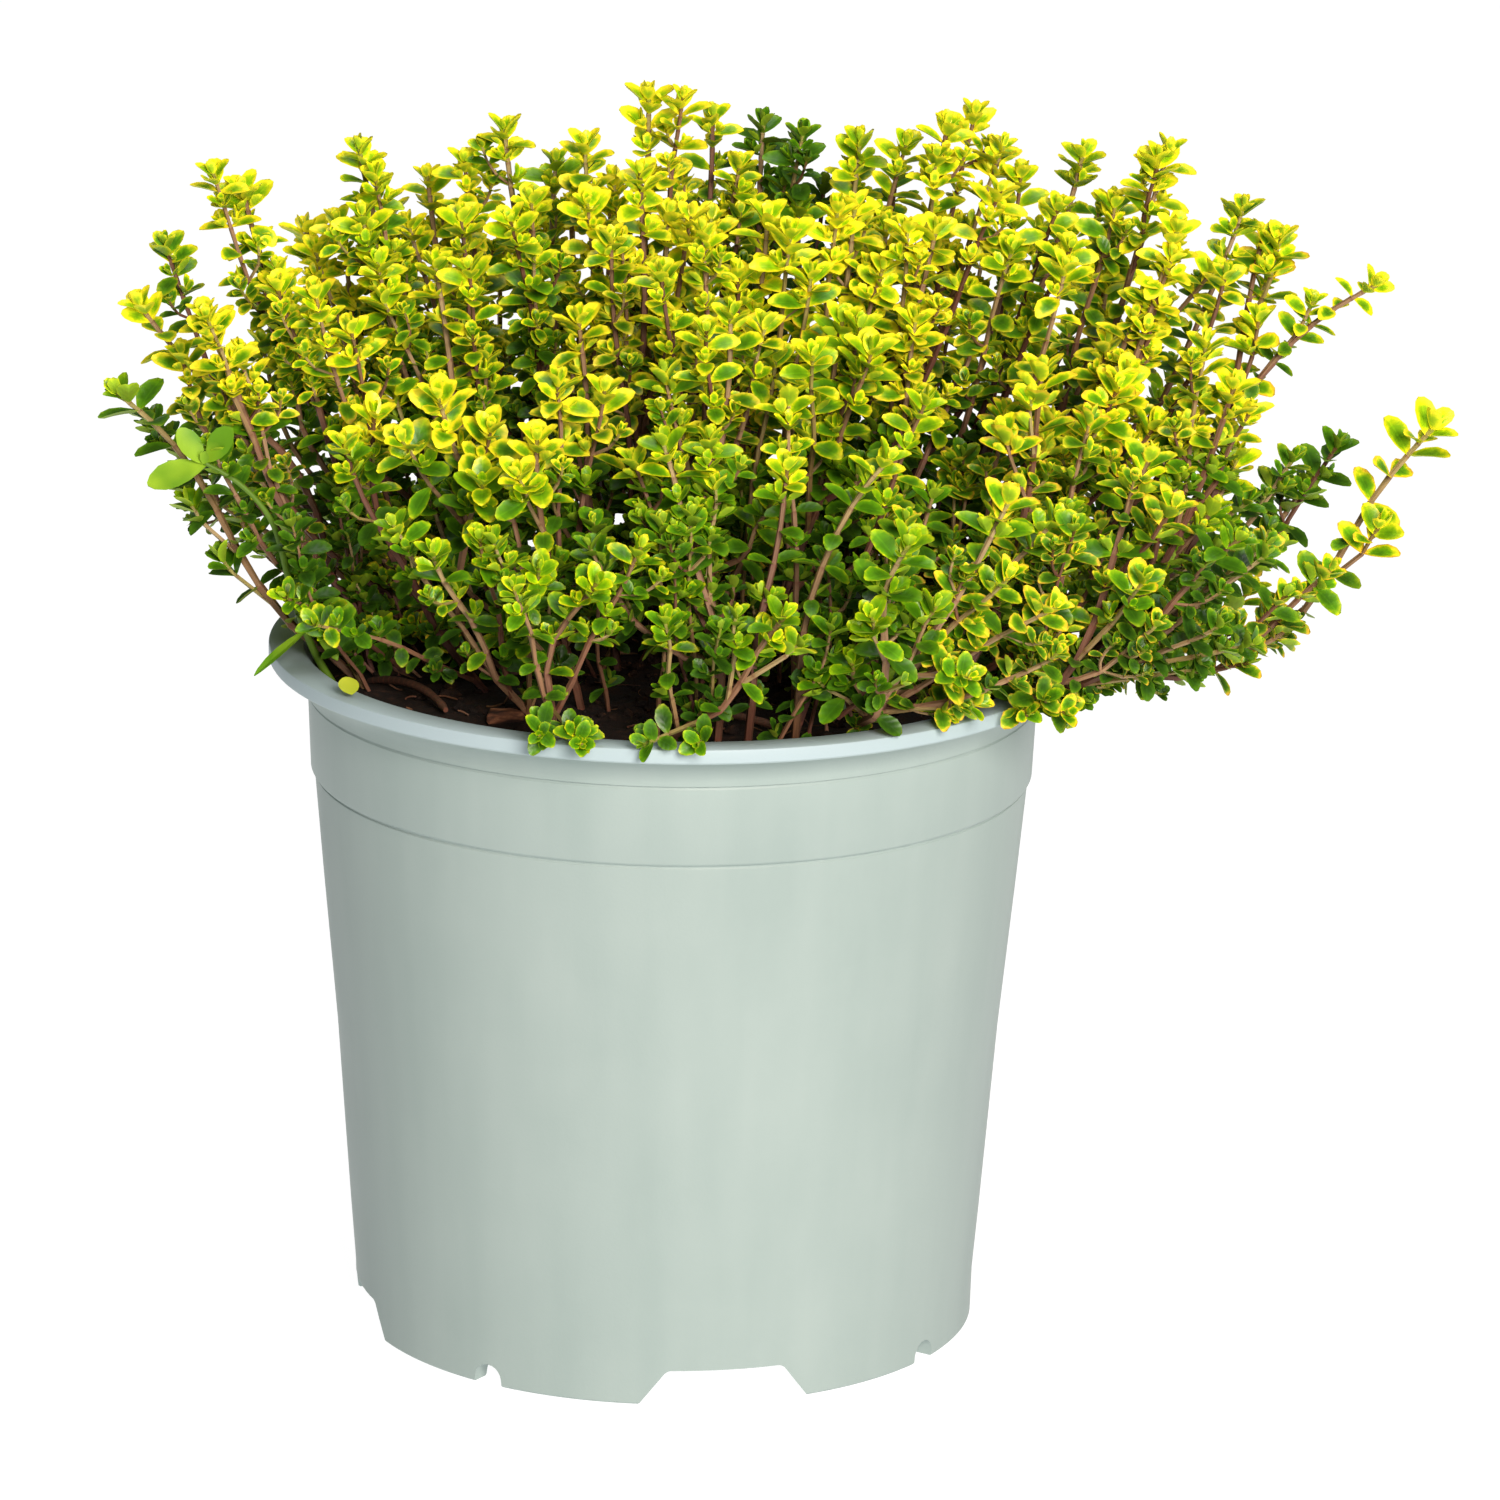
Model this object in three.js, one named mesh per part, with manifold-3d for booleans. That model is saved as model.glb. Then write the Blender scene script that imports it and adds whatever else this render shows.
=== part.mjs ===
// A lemon thyme growing in a round plastic nursery pot, in millimetres with +Z up.
// The plants' leafy width is centred on the origin, and z = 0 is the plane the pot's foot stands on.
import * as THREE from 'three';
import { mergeVertices } from 'three/addons/utils/BufferGeometryUtils.js';
import Module from 'manifold-3d';

const wasm = await Module();
wasm.setup();

// Driving dimensions of the pot
const RIM_RADIUS = 70;
const POT_HEIGHT = 120.6;
const LIP_HEIGHT = 2.4;
const FLANGE_INNER_RADIUS = 64.2;
// The flange is all but flat, turns down to the wall inside, and has its outer edge broken above and below
const FLANGE_DIP = 0.15;
const FLANGE_ROOT = { inwards: 0.5, below: 2.4 };
const LIP_EDGE = { top: 0.3, inwards: 0.4, under: 1, underBelow: 0.3 };
const BAND_TOP_RADIUS = 63.2;
const BAND_TOP_Z = 112.1;
const NECK_OUT = 0.4; // a crisp line where the cove under the lip stands proud of the band
const COVE = [[0.5, 1.6], [1.2, 3.2], [2.6, 4.6], [4.5, 5.5]]; // outwards and upwards from the band's top
const STEP_RADIUS = 61.95;
const STEP_Z = 98.1;
const STEP_OUT = 0.7;
const STEP_RISE = 0.6;
const BODY = [[54.45, 8], [55.4, 19.8], [57.85, 53], [60.4, 80]]; // the wall's radius at four heights
const FOOT_RADIUS = 54.35;
const FOOT_WALL = 3.6; // the foot ring is thicker than the wall above it
const WALL = 1.2;
const BASE_UNDERSIDE_Z = 6.6;
const BASE_THICKNESS = 1.6;
const BASE_SET_IN = 0.3; // the foot ring's inner face leans out from here to the ground
const POT_SEGMENTS = 40;
const NOTCH_PAIRS = 4;
const WIDE_NOTCH = { bottom: 32.5, top: 20.2, height: 6.2 };
const SMALL_NOTCH = {
  width: 6.2, height: 3.6, shoulder: 1.6, taper: 0.6, arch: { below: 2.4, inwards: 0.7, start: 0.15 },
};
const WIDE_NOTCH_ANGLE = THREE.MathUtils.degToRad(12.1);
const NOTCH_CUT = { inside: 7.5, depth: 14, below: 1 }; // the cut starts this far inside the foot's outer edge
const DRAIN_HOLE_RADIUS = 3.5;
const DRAIN_RING_RADIUS = 43;
const DRAIN_HOLES = 8;
const DRAIN_CUT_DEPTH = 6;

// Driving dimensions of what grows in it
const POT_AXIS_X = -17; // the sprigs reach further to the right of the pot than to the left
const CLEARANCE = 0.3;
const FACET_SAG = 0.15; // the pot's flat facets come this much nearer to the soil than its round wall
const SOIL_EDGE_Z = 115;
const SOIL_CROWN = 1.5;
const SOIL_RINGS = [40, 20, 0];
const STEM_RADIUS = 0.8; // to its corners
const STEM_SIDES = 4; // thyme has square stems
const STEM_STEPS = 5;
const LEAF_LENGTH = 7.4;
const LEAF_WIDTH = 4.2;
const LEAF_THICKNESS = 0.9;
const LEAF_RISE = THREE.MathUtils.degToRad(24);
const LEAF_SEAT = 0.5; // how far a leaf's base reaches into its stem
const ROSETTE_RADIUS = 5.4;
const ROSETTE_HEIGHT = 5;
const PAIR_SPACING = 12;
const MOST_PAIRS = 3;
const BARE_SHARE = 0.2; // the lowest part of a stem carries no leaves
const LEAF_GAP = 5; // from a leaf's centre line to a neighbour's
const STEM_GAP = 3.6;
const RIM_GAP = { above: 2.2, outside: 3 }; // a leaf stays this clear of the pot's rim
// How far out an upright sprig roots, across and in depth, as a share of its tip's reach
const ROOT_SHARE = [0.56, 0.72];
const ROOT_LIMIT = 55;
// An upright stem leans out from its root and then turns up; a short one rises sooner, to clear the rim
const BEND = { reach: 0.5, height: 0.4, leastRise: 17, shortReach: 0.35, shortRise: 40 };
const LEANING_BEND = { reach: 0.18, height: 0.6 }; // a leaning one rises steeply before it leans out
const CREEP_REACH = 0.6; // a creeping stem runs out over the rim before it rises
const CREEP_Z = 130;
const RUNNER = { radius: 1, steps: 8 };
const FALLEN_LEAF = { radius: 2, thickness: 0.5, reach: 67.4, angle: THREE.MathUtils.degToRad(53) };
const SEEDLING = {
  root: [-55, -15],
  stem: [[-61.5, -17, 126], [-67, -19, 141], [-73, -20, 150], [-80, -19, 155]],
  radius: 0.6,
  steps: 8,
  // Each leaf's place along the stem, its turn about it and its length
  leaves: [[0.97, 2.6, 9.5], [0.97, 5.6, 8], [0.3, 3.4, 8], [0.3, 0.3, 7]],
};

const group = new THREE.Group();
group.position.x = POT_AXIS_X;

function finish(color, roughness) {
  return new THREE.MeshStandardMaterial({ color, roughness, metalness: 0 });
}

function addMesh(name, geometry, material) {
  const mesh = new THREE.Mesh(geometry, material);
  mesh.name = name;
  group.add(mesh);
  return mesh;
}

function toSolid(geometry) {
  const bare = geometry.clone();
  bare.deleteAttribute('normal');
  bare.deleteAttribute('uv');
  const merged = mergeVertices(bare, 1e-4);
  return new wasm.Manifold(new wasm.Mesh({
    numProp: 3,
    vertProperties: Float32Array.from(merged.attributes.position.array),
    triVerts: Uint32Array.from(merged.index.array),
  }));
}

function toGeometry(solid) {
  const mesh = solid.getMesh();
  const geometry = new THREE.BufferGeometry();
  geometry.setAttribute('position', new THREE.BufferAttribute(mesh.vertProperties, 3));
  geometry.setIndex(new THREE.BufferAttribute(mesh.triVerts, 1));
  geometry.computeVertexNormals();
  return geometry;
}

// A closed outline of [radius, z] points turned about the pot's axis
function turned(outline, segments) {
  const points = outline.map(([radius, z]) => new THREE.Vector2(radius, z));
  return new THREE.LatheGeometry(points, segments).rotateX(Math.PI / 2);
}

// The pot: foot ring, recessed base, tapered body, step, rim band, cove and flanged lip
function potOutline() {
  const lipBottom = POT_HEIGHT - LIP_HEIGHT;
  const baseTop = BASE_UNDERSIDE_Z + BASE_THICKNESS;
  const [[lowRadius]] = BODY;
  return [
    [0, BASE_UNDERSIDE_Z],
    [FOOT_RADIUS - FOOT_WALL - BASE_SET_IN, BASE_UNDERSIDE_Z],
    [FOOT_RADIUS - FOOT_WALL, 0],
    [FOOT_RADIUS, 0],
    ...BODY,
    [STEP_RADIUS, STEP_Z],
    [STEP_RADIUS + STEP_OUT, STEP_Z + STEP_RISE],
    [BAND_TOP_RADIUS, BAND_TOP_Z],
    [BAND_TOP_RADIUS + NECK_OUT, BAND_TOP_Z + NECK_OUT],
    ...COVE.map(([outwards, upwards]) => [BAND_TOP_RADIUS + outwards, BAND_TOP_Z + upwards]),
    [RIM_RADIUS - LIP_EDGE.under, lipBottom - LIP_EDGE.underBelow],
    [RIM_RADIUS, lipBottom],
    [RIM_RADIUS, POT_HEIGHT - LIP_EDGE.top],
    [RIM_RADIUS - LIP_EDGE.inwards, POT_HEIGHT],
    [FLANGE_INNER_RADIUS, POT_HEIGHT - FLANGE_DIP],
    [FLANGE_INNER_RADIUS - FLANGE_ROOT.inwards, POT_HEIGHT - FLANGE_ROOT.below],
    [BAND_TOP_RADIUS - WALL, BAND_TOP_Z],
    [STEP_RADIUS - WALL, STEP_Z],
    ...insideOf(BODY.slice(1)).reverse(),
    [lowRadius - WALL, baseTop],
    [0, baseTop],
  ];
}

function insideOf(profile, gap = WALL) {
  return profile.map(([radius, z]) => [radius - gap, z]);
}

// A cutter that runs out through the foot at one angle, counted from the front towards the right
function notchCutter(shape, angle) {
  const { inside, depth } = NOTCH_CUT;
  const cutter = new THREE.ExtrudeGeometry(shape, { depth, bevelEnabled: false, curveSegments: 4 });
  cutter.rotateX(Math.PI / 2).translate(0, inside - FOOT_RADIUS, 0);
  return toSolid(cutter.rotateZ(angle));
}

function wideNotchShape() {
  const { bottom, top, height } = WIDE_NOTCH;
  const shape = new THREE.Shape();
  shape.moveTo(-bottom / 2, -NOTCH_CUT.below);
  shape.lineTo(bottom / 2, -NOTCH_CUT.below);
  shape.lineTo(bottom / 2, 0);
  shape.lineTo(top / 2, height);
  shape.lineTo(-top / 2, height);
  shape.lineTo(-bottom / 2, 0);
  return shape;
}

function smallNotchShape() {
  const { width, height, shoulder, taper, arch } = SMALL_NOTCH;
  const shape = new THREE.Shape();
  shape.moveTo(-width / 2, -NOTCH_CUT.below);
  shape.lineTo(width / 2, -NOTCH_CUT.below);
  shape.lineTo(width / 2 - taper, shoulder);
  shape.absarc(0, height - arch.below, width / 2 - arch.inwards, arch.start, Math.PI - arch.start, false);
  return shape;
}

function makePot() {
  let pot = toSolid(turned(potOutline(), POT_SEGMENTS));
  for (let i = 0; i < NOTCH_PAIRS; i += 1) {
    const angle = WIDE_NOTCH_ANGLE + (i * 2 * Math.PI) / NOTCH_PAIRS;
    pot = pot.subtract(notchCutter(wideNotchShape(), angle));
    pot = pot.subtract(notchCutter(smallNotchShape(), angle + Math.PI / NOTCH_PAIRS));
  }
  for (let i = 0; i < DRAIN_HOLES; i += 1) {
    const angle = WIDE_NOTCH_ANGLE + (i * 2 * Math.PI) / DRAIN_HOLES;
    const hole = new THREE.CylinderGeometry(DRAIN_HOLE_RADIUS, DRAIN_HOLE_RADIUS, DRAIN_CUT_DEPTH, 10);
    hole.rotateX(Math.PI / 2).translate(0, -DRAIN_RING_RADIUS, BASE_UNDERSIDE_Z).rotateZ(angle);
    pot = pot.subtract(toSolid(hole));
  }
  return toGeometry(pot);
}

// The soil fills the pot to a low mound
function soilTop(radius) {
  return SOIL_EDGE_Z + SOIL_CROWN * (1 - (radius / (BAND_TOP_RADIUS - WALL)) ** 2);
}

function makeSoil() {
  const gap = WALL + CLEARANCE + FACET_SAG;
  const bottom = BASE_UNDERSIDE_Z + BASE_THICKNESS + CLEARANCE;
  const [[lowRadius]] = BODY;
  const edge = BAND_TOP_RADIUS - gap;
  const outline = [
    [0, bottom],
    [lowRadius - gap, bottom],
    ...insideOf(BODY.slice(1), gap),
    [STEP_RADIUS - gap, STEP_Z],
    [edge, BAND_TOP_Z],
    ...[edge, ...SOIL_RINGS].map((radius) => [radius, soilTop(radius)]),
  ];
  return turned(outline, POT_SEGMENTS);
}

// A point on the soil's surface, a little above it
function onSoil(x, y, lift = CLEARANCE) {
  return new THREE.Vector3(x, y, soilTop(Math.hypot(x, y)) + lift);
}

// Upright sprigs: where each tip stands, [across, depth, height], with depth counted away from the front
const LEFT_TIPS = [
  [-97, -4, 161, LEANING_BEND], [-91, 7, 176, LEANING_BEND], [-80, -9, 179], [-78, 21, 193],
  [-68, 2, 181], [-64, 36, 184], [-57, 23, 200],
];
const MIDDLE_TIPS = [
  [-39, 4, 183], [-44, 44, 191], [-31, 28, 204], [-14, -6, 178], [-20, 54, 190], [-7, 25, 217], [-5, 6, 200],
  [4, 48, 204], [15, 5, 195], [17, 60, 199], [12, -24, 176], [30, 12, 194], [27, -13, 180],
];
const RIGHT_TIPS = [
  [33, 43, 200], [46, 28, 205], [47, 7, 189], [70, 36, 202], [83, 15, 205], [87, -3, 195], [99, 21, 191],
  [60, -16, 172], [76, -12, 171], [92, -10, 166], [121, 5, 184, LEANING_BEND],
];
const FRONT_TIPS = [
  [-56, -25, 160], [-40, -31, 168], [-23, -36, 165], [-40, -47, 148], [-6, -44, 166], [-14, -64, 147],
  [16, -66, 142], [38, -76, 153], [39, -42, 169], [56, -52, 158], [80, -38, 152], [97, -54, 137],
];
const BACK_TIPS = [
  [-84, 44, 160], [-48, 70, 164], [-8, 76, 168], [34, 75, 166], [64, 66, 168], [88, 54, 160],
];
// Creeping sprigs hang out over the rim at the right; each has its own root
const CREEPING_SPRIGS = [
  { tip: [131, -6, 161], root: [36, -5] },
  { tip: [112, 34, 149], root: [38, 18] },
  { tip: [113, -21, 141], root: [40, -16] },
];

function uprightCurve([x, y, z, bend = BEND]) {
  let rootX = x * ROOT_SHARE[0];
  let rootY = y * ROOT_SHARE[1];
  const reach = Math.hypot(rootX, rootY);
  if (reach > ROOT_LIMIT) {
    rootX *= ROOT_LIMIT / reach;
    rootY *= ROOT_LIMIT / reach;
  }
  const root = onSoil(rootX, rootY);
  const rise = z - root.z;
  const bendReach = rise < BEND.shortRise ? BEND.shortReach : bend.reach;
  return bentCurve(root, [x, y, z], bendReach, root.z + Math.max(BEND.leastRise, rise * bend.height));
}

function creepingCurve({ tip, root }) {
  return bentCurve(onSoil(...root), tip, CREEP_REACH, CREEP_Z);
}

// The root is lifted where the stem leaves it aslant, so that the stem's lower edge clears the soil
function bentCurve(root, [x, y, z], bendReach, bendZ) {
  const bend = root.clone().lerp(new THREE.Vector3(x, y, z), bendReach).setZ(bendZ);
  const slant = Math.hypot(bend.x - root.x, bend.y - root.y) / bend.distanceTo(root);
  root.z += STEM_RADIUS * slant;
  return new THREE.QuadraticBezierCurve3(root, bend, new THREE.Vector3(x, y, z - LEAF_LENGTH / 2));
}

function tubeSettings(curve, steps) {
  return { steps, extrudePath: curve, bevelEnabled: false, curveSegments: STEM_SIDES / 2 };
}

function stemSolid(curve, radius, steps) {
  const section = new THREE.Shape();
  section.absarc(0, 0, radius, 0, 2 * Math.PI, false);
  return toSolid(new THREE.ExtrudeGeometry(section, tubeSettings(curve, steps)));
}

// One leaf leaves the stem at a turn about it, and rises above the square to it
function leafPlacement(origin, along, turn, rise, length) {
  const side = new THREE.Vector3(1, 0, 0).projectOnPlane(along).normalize().applyAxisAngle(along, turn);
  const out = side.clone().multiplyScalar(Math.cos(rise)).addScaledVector(along, Math.sin(rise));
  const across = new THREE.Vector3().crossVectors(along, side).normalize();
  const up = new THREE.Vector3().crossVectors(out, across);
  const centre = origin.clone().addScaledVector(out, length / 2 - LEAF_SEAT);
  return { centre, out, across, up, length };
}

function leafSolid({ centre, out, across, up, length }) {
  const blade = new THREE.OctahedronGeometry(1, 0);
  blade.scale(length / 2, (LEAF_WIDTH / 2) * (length / LEAF_LENGTH), LEAF_THICKNESS / 2);
  const place = new THREE.Matrix4().makeBasis(out, across, up).setPosition(centre);
  return toSolid(blade.applyMatrix4(place));
}

function leafSamples({ centre, out, length }) {
  return [-0.3, 0, 0.3, 0.5].map((share) => centre.clone().addScaledVector(out, share * length));
}

function isClear(samples, taken, gap) {
  return samples.every((p) => taken.every((q) => p.distanceToSquared(q) > gap * gap));
}

function clearOfPot(samples) {
  const { above, outside } = RIM_GAP;
  return samples.every((p) => p.z > POT_HEIGHT + above || Math.hypot(p.x, p.y) > RIM_RADIUS + outside);
}

// The rosette of small leaves at a sprig's tip is one squat bud
function rosetteSolid(origin, along) {
  const bud = new THREE.OctahedronGeometry(1, 0).scale(ROSETTE_RADIUS, ROSETTE_RADIUS, ROSETTE_HEIGHT / 2);
  const upright = new THREE.Quaternion().setFromUnitVectors(new THREE.Vector3(0, 0, 1), along);
  return toSolid(bud.applyQuaternion(upright).translate(origin.x, origin.y, origin.z));
}

// Stems and rosettes stand first, then leaf pairs are set downwards wherever the neighbours leave room
function makeSprigs() {
  const curves = [
    ...[...LEFT_TIPS, ...MIDDLE_TIPS, ...RIGHT_TIPS].map(uprightCurve),
    ...CREEPING_SPRIGS.map(creepingCurve),
    ...[...FRONT_TIPS, ...BACK_TIPS].map(uprightCurve),
  ];
  const sprigs = curves.map((curve) => {
    const end = curve.getPointAt(1);
    const parts = [stemSolid(curve, STEM_RADIUS, STEM_STEPS), rosetteSolid(end, curve.getTangentAt(1))];
    return { curve, parts, stem: curve.getSpacedPoints(24), leaves: [end] };
  });
  for (let level = 1; level <= MOST_PAIRS; level += 1) {
    sprigs.forEach((sprig, i) => {
      const share = 1 - (level * PAIR_SPACING) / sprig.curve.getLength();
      if (share < BARE_SHARE) return;
      const others = sprigs.filter((_, j) => j !== i);
      const stems = others.flatMap((other) => other.stem);
      const leaves = others.flatMap((other) => other.leaves);
      const along = sprig.curve.getTangentAt(share);
      const firstTurn = (level % 2) * (Math.PI / 2) + i;
      [firstTurn, firstTurn + Math.PI].forEach((turn) => {
        const leaf = leafPlacement(sprig.curve.getPointAt(share), along, turn, LEAF_RISE, LEAF_LENGTH);
        const samples = leafSamples(leaf);
        if (isClear(samples, leaves, LEAF_GAP) && isClear(samples, stems, STEM_GAP) && clearOfPot(samples)) {
          sprig.parts.push(leafSolid(leaf));
          sprig.leaves.push(...samples);
        }
      });
    });
  }
  return sprigs;
}

// Loose things on the soil
function barkChip(length, width, height, x, y, turn) {
  const chip = new THREE.DodecahedronGeometry(1, 0).scale(length / 2, width / 2, height / 2);
  chip.rotateZ(turn);
  chip.computeBoundingBox();
  return chip.translate(x, y, soilTop(Math.hypot(x, y)) + CLEARANCE - chip.boundingBox.min.z);
}

function runnerGeometry(points) {
  const { radius, steps } = RUNNER;
  const seat = radius + CLEARANCE;
  const curve = new THREE.CatmullRomCurve3(points.map(([x, y, lift]) => onSoil(x, y, lift + seat)));
  const section = new THREE.Shape();
  section.absarc(0, 0, radius, 0, 2 * Math.PI, false);
  return new THREE.ExtrudeGeometry(section, tubeSettings(curve, steps));
}

// A slender seedling of another plant, rooted at the left edge, with broad pale leaves
function makeSeedling() {
  const points = SEEDLING.stem.map(([x, y, z]) => new THREE.Vector3(x, y, z));
  const curve = new THREE.CatmullRomCurve3([onSoil(...SEEDLING.root), ...points]);
  const parts = [stemSolid(curve, SEEDLING.radius, SEEDLING.steps)];
  SEEDLING.leaves.forEach(([share, turn, length]) => {
    const place = leafPlacement(curve.getPointAt(share), curve.getTangentAt(share), turn, LEAF_RISE, length);
    parts.push(leafSolid(place));
  });
  return wasm.Manifold.union(parts);
}

// A small round yellow leaf lying on the flange at the front left
function makeFallenLeaf() {
  const { radius, thickness, reach, angle } = FALLEN_LEAF;
  const leaf = new THREE.CylinderGeometry(radius, radius, thickness, 10).rotateX(Math.PI / 2);
  const z = POT_HEIGHT + CLEARANCE + thickness / 2;
  return leaf.translate(-reach * Math.sin(angle), -reach * Math.cos(angle), z);
}

const potMaterial = finish(0xb3c0b8, 0.55);
const soilMaterial = finish(0x2a1c14, 0.95);
const barkMaterial = finish(0x5c3420, 0.85);
const stemMaterial = finish(0x8a6a50, 0.7);
const leafMaterial = finish(0x8fb022, 0.5);
const seedlingMaterial = finish(0x9ccf4a, 0.5);

addMesh('pot', makePot(), potMaterial);
addMesh('soil', makeSoil(), soilMaterial);

const BARK_CHIPS = [
  [7, 3.4, 2.6, -28, -37, 0.3], [6, 4, 2.2, 23, -20, 1.9],
];
BARK_CHIPS.forEach(([length, width, height, x, y, turn], i) => {
  addMesh(`bark_chip_${i + 1}`, barkChip(length, width, height, x, y, turn), barkMaterial.clone());
});

const RUNNERS = [
  [[-52, -14, 0], [-44, -22, 1.4], [-38, -34, 0.4]],
  [[-2, -36, 0], [8, -37, 1.2], [19, -42, 0.2]],
];
RUNNERS.forEach((points, i) => {
  addMesh(`woody_runner_${i + 1}`, runnerGeometry(points), stemMaterial.clone());
});

addMesh('pale_seedling', toGeometry(makeSeedling()), seedlingMaterial);
addMesh('fallen_leaf', makeFallenLeaf(), seedlingMaterial.clone());

makeSprigs().forEach((sprig, i) => {
  const name = `thyme_sprig_${String(i + 1).padStart(2, '0')}`;
  addMesh(name, toGeometry(wasm.Manifold.union(sprig.parts)), leafMaterial.clone());
});

export default group;
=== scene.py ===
import math
import random

import bmesh
import bpy
import numpy as np
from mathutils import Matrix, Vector, noise


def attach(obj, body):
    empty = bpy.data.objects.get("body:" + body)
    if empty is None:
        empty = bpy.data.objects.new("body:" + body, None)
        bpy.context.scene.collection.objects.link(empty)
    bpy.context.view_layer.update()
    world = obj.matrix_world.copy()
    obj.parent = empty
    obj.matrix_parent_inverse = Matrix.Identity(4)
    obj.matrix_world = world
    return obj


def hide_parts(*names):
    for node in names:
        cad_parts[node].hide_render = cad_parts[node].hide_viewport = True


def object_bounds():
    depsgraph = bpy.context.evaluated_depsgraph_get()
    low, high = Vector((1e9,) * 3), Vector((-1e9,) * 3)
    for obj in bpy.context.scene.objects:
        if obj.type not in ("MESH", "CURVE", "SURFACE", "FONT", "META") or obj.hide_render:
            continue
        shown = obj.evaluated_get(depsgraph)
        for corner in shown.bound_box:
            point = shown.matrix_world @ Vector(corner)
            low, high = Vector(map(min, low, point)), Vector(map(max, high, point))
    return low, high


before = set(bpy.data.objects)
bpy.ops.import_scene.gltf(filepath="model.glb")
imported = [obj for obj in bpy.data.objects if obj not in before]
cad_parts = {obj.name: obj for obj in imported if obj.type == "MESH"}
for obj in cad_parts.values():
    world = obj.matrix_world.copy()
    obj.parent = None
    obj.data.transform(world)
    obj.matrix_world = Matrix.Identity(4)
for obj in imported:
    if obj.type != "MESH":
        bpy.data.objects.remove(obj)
cadBox = [list(corner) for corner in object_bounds()]
print("frame loaded")

mm = 0.001
potAxisX = -17.0  # the object's sizes are in mm, counted from the pot's axis, which stands here in the frame
goldenTurn = math.radians(137.5)
aTurn = 6.28  # a whole turn, for things that lie at random


def place(x, y, z):
    return Vector(((x + potAxisX) * mm, y * mm, z * mm))


# An sRGB hex colour as the linear one that Blender takes
def linear(hexColour):
    parts = [int(hexColour[i : i + 2], 16) / 255 for i in (1, 3, 5)]
    return tuple(c / 12.92 if c <= 0.04045 else ((c + 0.055) / 1.055) ** 2.4 for c in parts) + (1.0,)


# Sets a node's inputs: a link is given as a node, or as (node, output), and a text value is a hex colour
def wire(tree, node, inputs):
    for socket, value in inputs.items():
        fromOutput = isinstance(value, tuple) and isinstance(value[0], bpy.types.Node)
        source, output = value if fromOutput else (value, None)
        if isinstance(source, bpy.types.Node):
            output = output if output is not None else 2 if source.type == "MIX" else 0
            tree.links.new(source.outputs[output], node.inputs[socket])
        else:
            node.inputs[socket].default_value = linear(value) if isinstance(value, str) else value


def addNode(tree, kind, inputs=None, ramp=None, **settings):
    node = tree.nodes.new("ShaderNode" + kind)
    for name, value in settings.items():
        setattr(node, name, value)
    if ramp:
        elements = node.color_ramp.elements
        while len(elements) < len(ramp):
            elements.new(0.5)
        for element, (position, colour) in zip(elements, ramp):
            element.position = position
            element.color = linear(colour) if isinstance(colour, str) else (colour, colour, colour, 1.0)
    wire(tree, node, inputs or {})
    return node


def newMaterial(name, **values):
    material = bpy.data.materials.new(name)
    material.use_nodes = True
    tree = material.node_tree
    shader = tree.nodes["Principled BSDF"]
    for socket, value in values.items():
        shader.inputs[socket.replace("_", " ")].default_value = value
    return material, tree, shader


def deselectAll():
    if bpy.context.object and bpy.context.object.mode != "OBJECT":
        bpy.ops.object.mode_set(mode="OBJECT")
    bpy.ops.object.select_all(action="DESELECT")


# Selects the vertices of the mesh in edit mode that pass a test on their place and number
def pick(test):
    bpy.ops.mesh.select_mode(type="VERT")
    bpy.ops.mesh.select_all(action="DESELECT")
    mesh = bmesh.from_edit_mesh(bpy.context.object.data)
    mesh.verts.index_update()
    for v in mesh.verts:
        v.select = bool(test(v.co, v.index))
    mesh.select_flush(True)
    bmesh.update_edit_mesh(bpy.context.object.data)


def activate(obj):
    deselectAll()
    obj.select_set(True)
    bpy.context.view_layer.objects.active = obj


# Puts the object's place into its mesh
def settle(obj):
    activate(obj)
    bpy.ops.object.transform_apply(location=True, rotation=True, scale=True)


def smooth(obj, degrees):
    activate(obj)
    bpy.ops.object.shade_smooth_by_angle(angle=math.radians(degrees))


def finishPiece(obj, name, material, slot, *nodes):
    obj.name = name
    obj.data.name = name
    obj.data.materials.clear()
    obj.data.materials.append(material)
    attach(obj, "root")
    if nodes:
        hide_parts(*nodes)


# Camera: the photograph was taken from about 1.4 m with a long lens, looking down at the pot
view = {
    "aim": (13.6, 0.0, 101.2), "distance": 1408.0, "elevation": 15.66, "lens": 194.4, "roll": 1.03, "sensor": 36.0,
    "near": 0.05, "far": 30.0,  # metres
}
deselectAll()
aim = place(*view["aim"])
tilt = math.radians(view["elevation"])
back = Vector((0, -math.cos(tilt), math.sin(tilt)))
bpy.ops.object.camera_add(location=aim + back * view["distance"] * mm)
camera = bpy.context.object
camera.rotation_mode = "QUATERNION"
camera.rotation_quaternion = (-back).to_track_quat("-Z", "Y")
camera.rotation_mode = "XYZ"
camera.rotation_euler.rotate_axis("Z", math.radians(view["roll"]))
camera.data.lens = view["lens"]
camera.data.sensor_width = view["sensor"]
camera.data.clip_start, camera.data.clip_end = view["near"], view["far"]
bpy.context.scene.camera = camera

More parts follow.
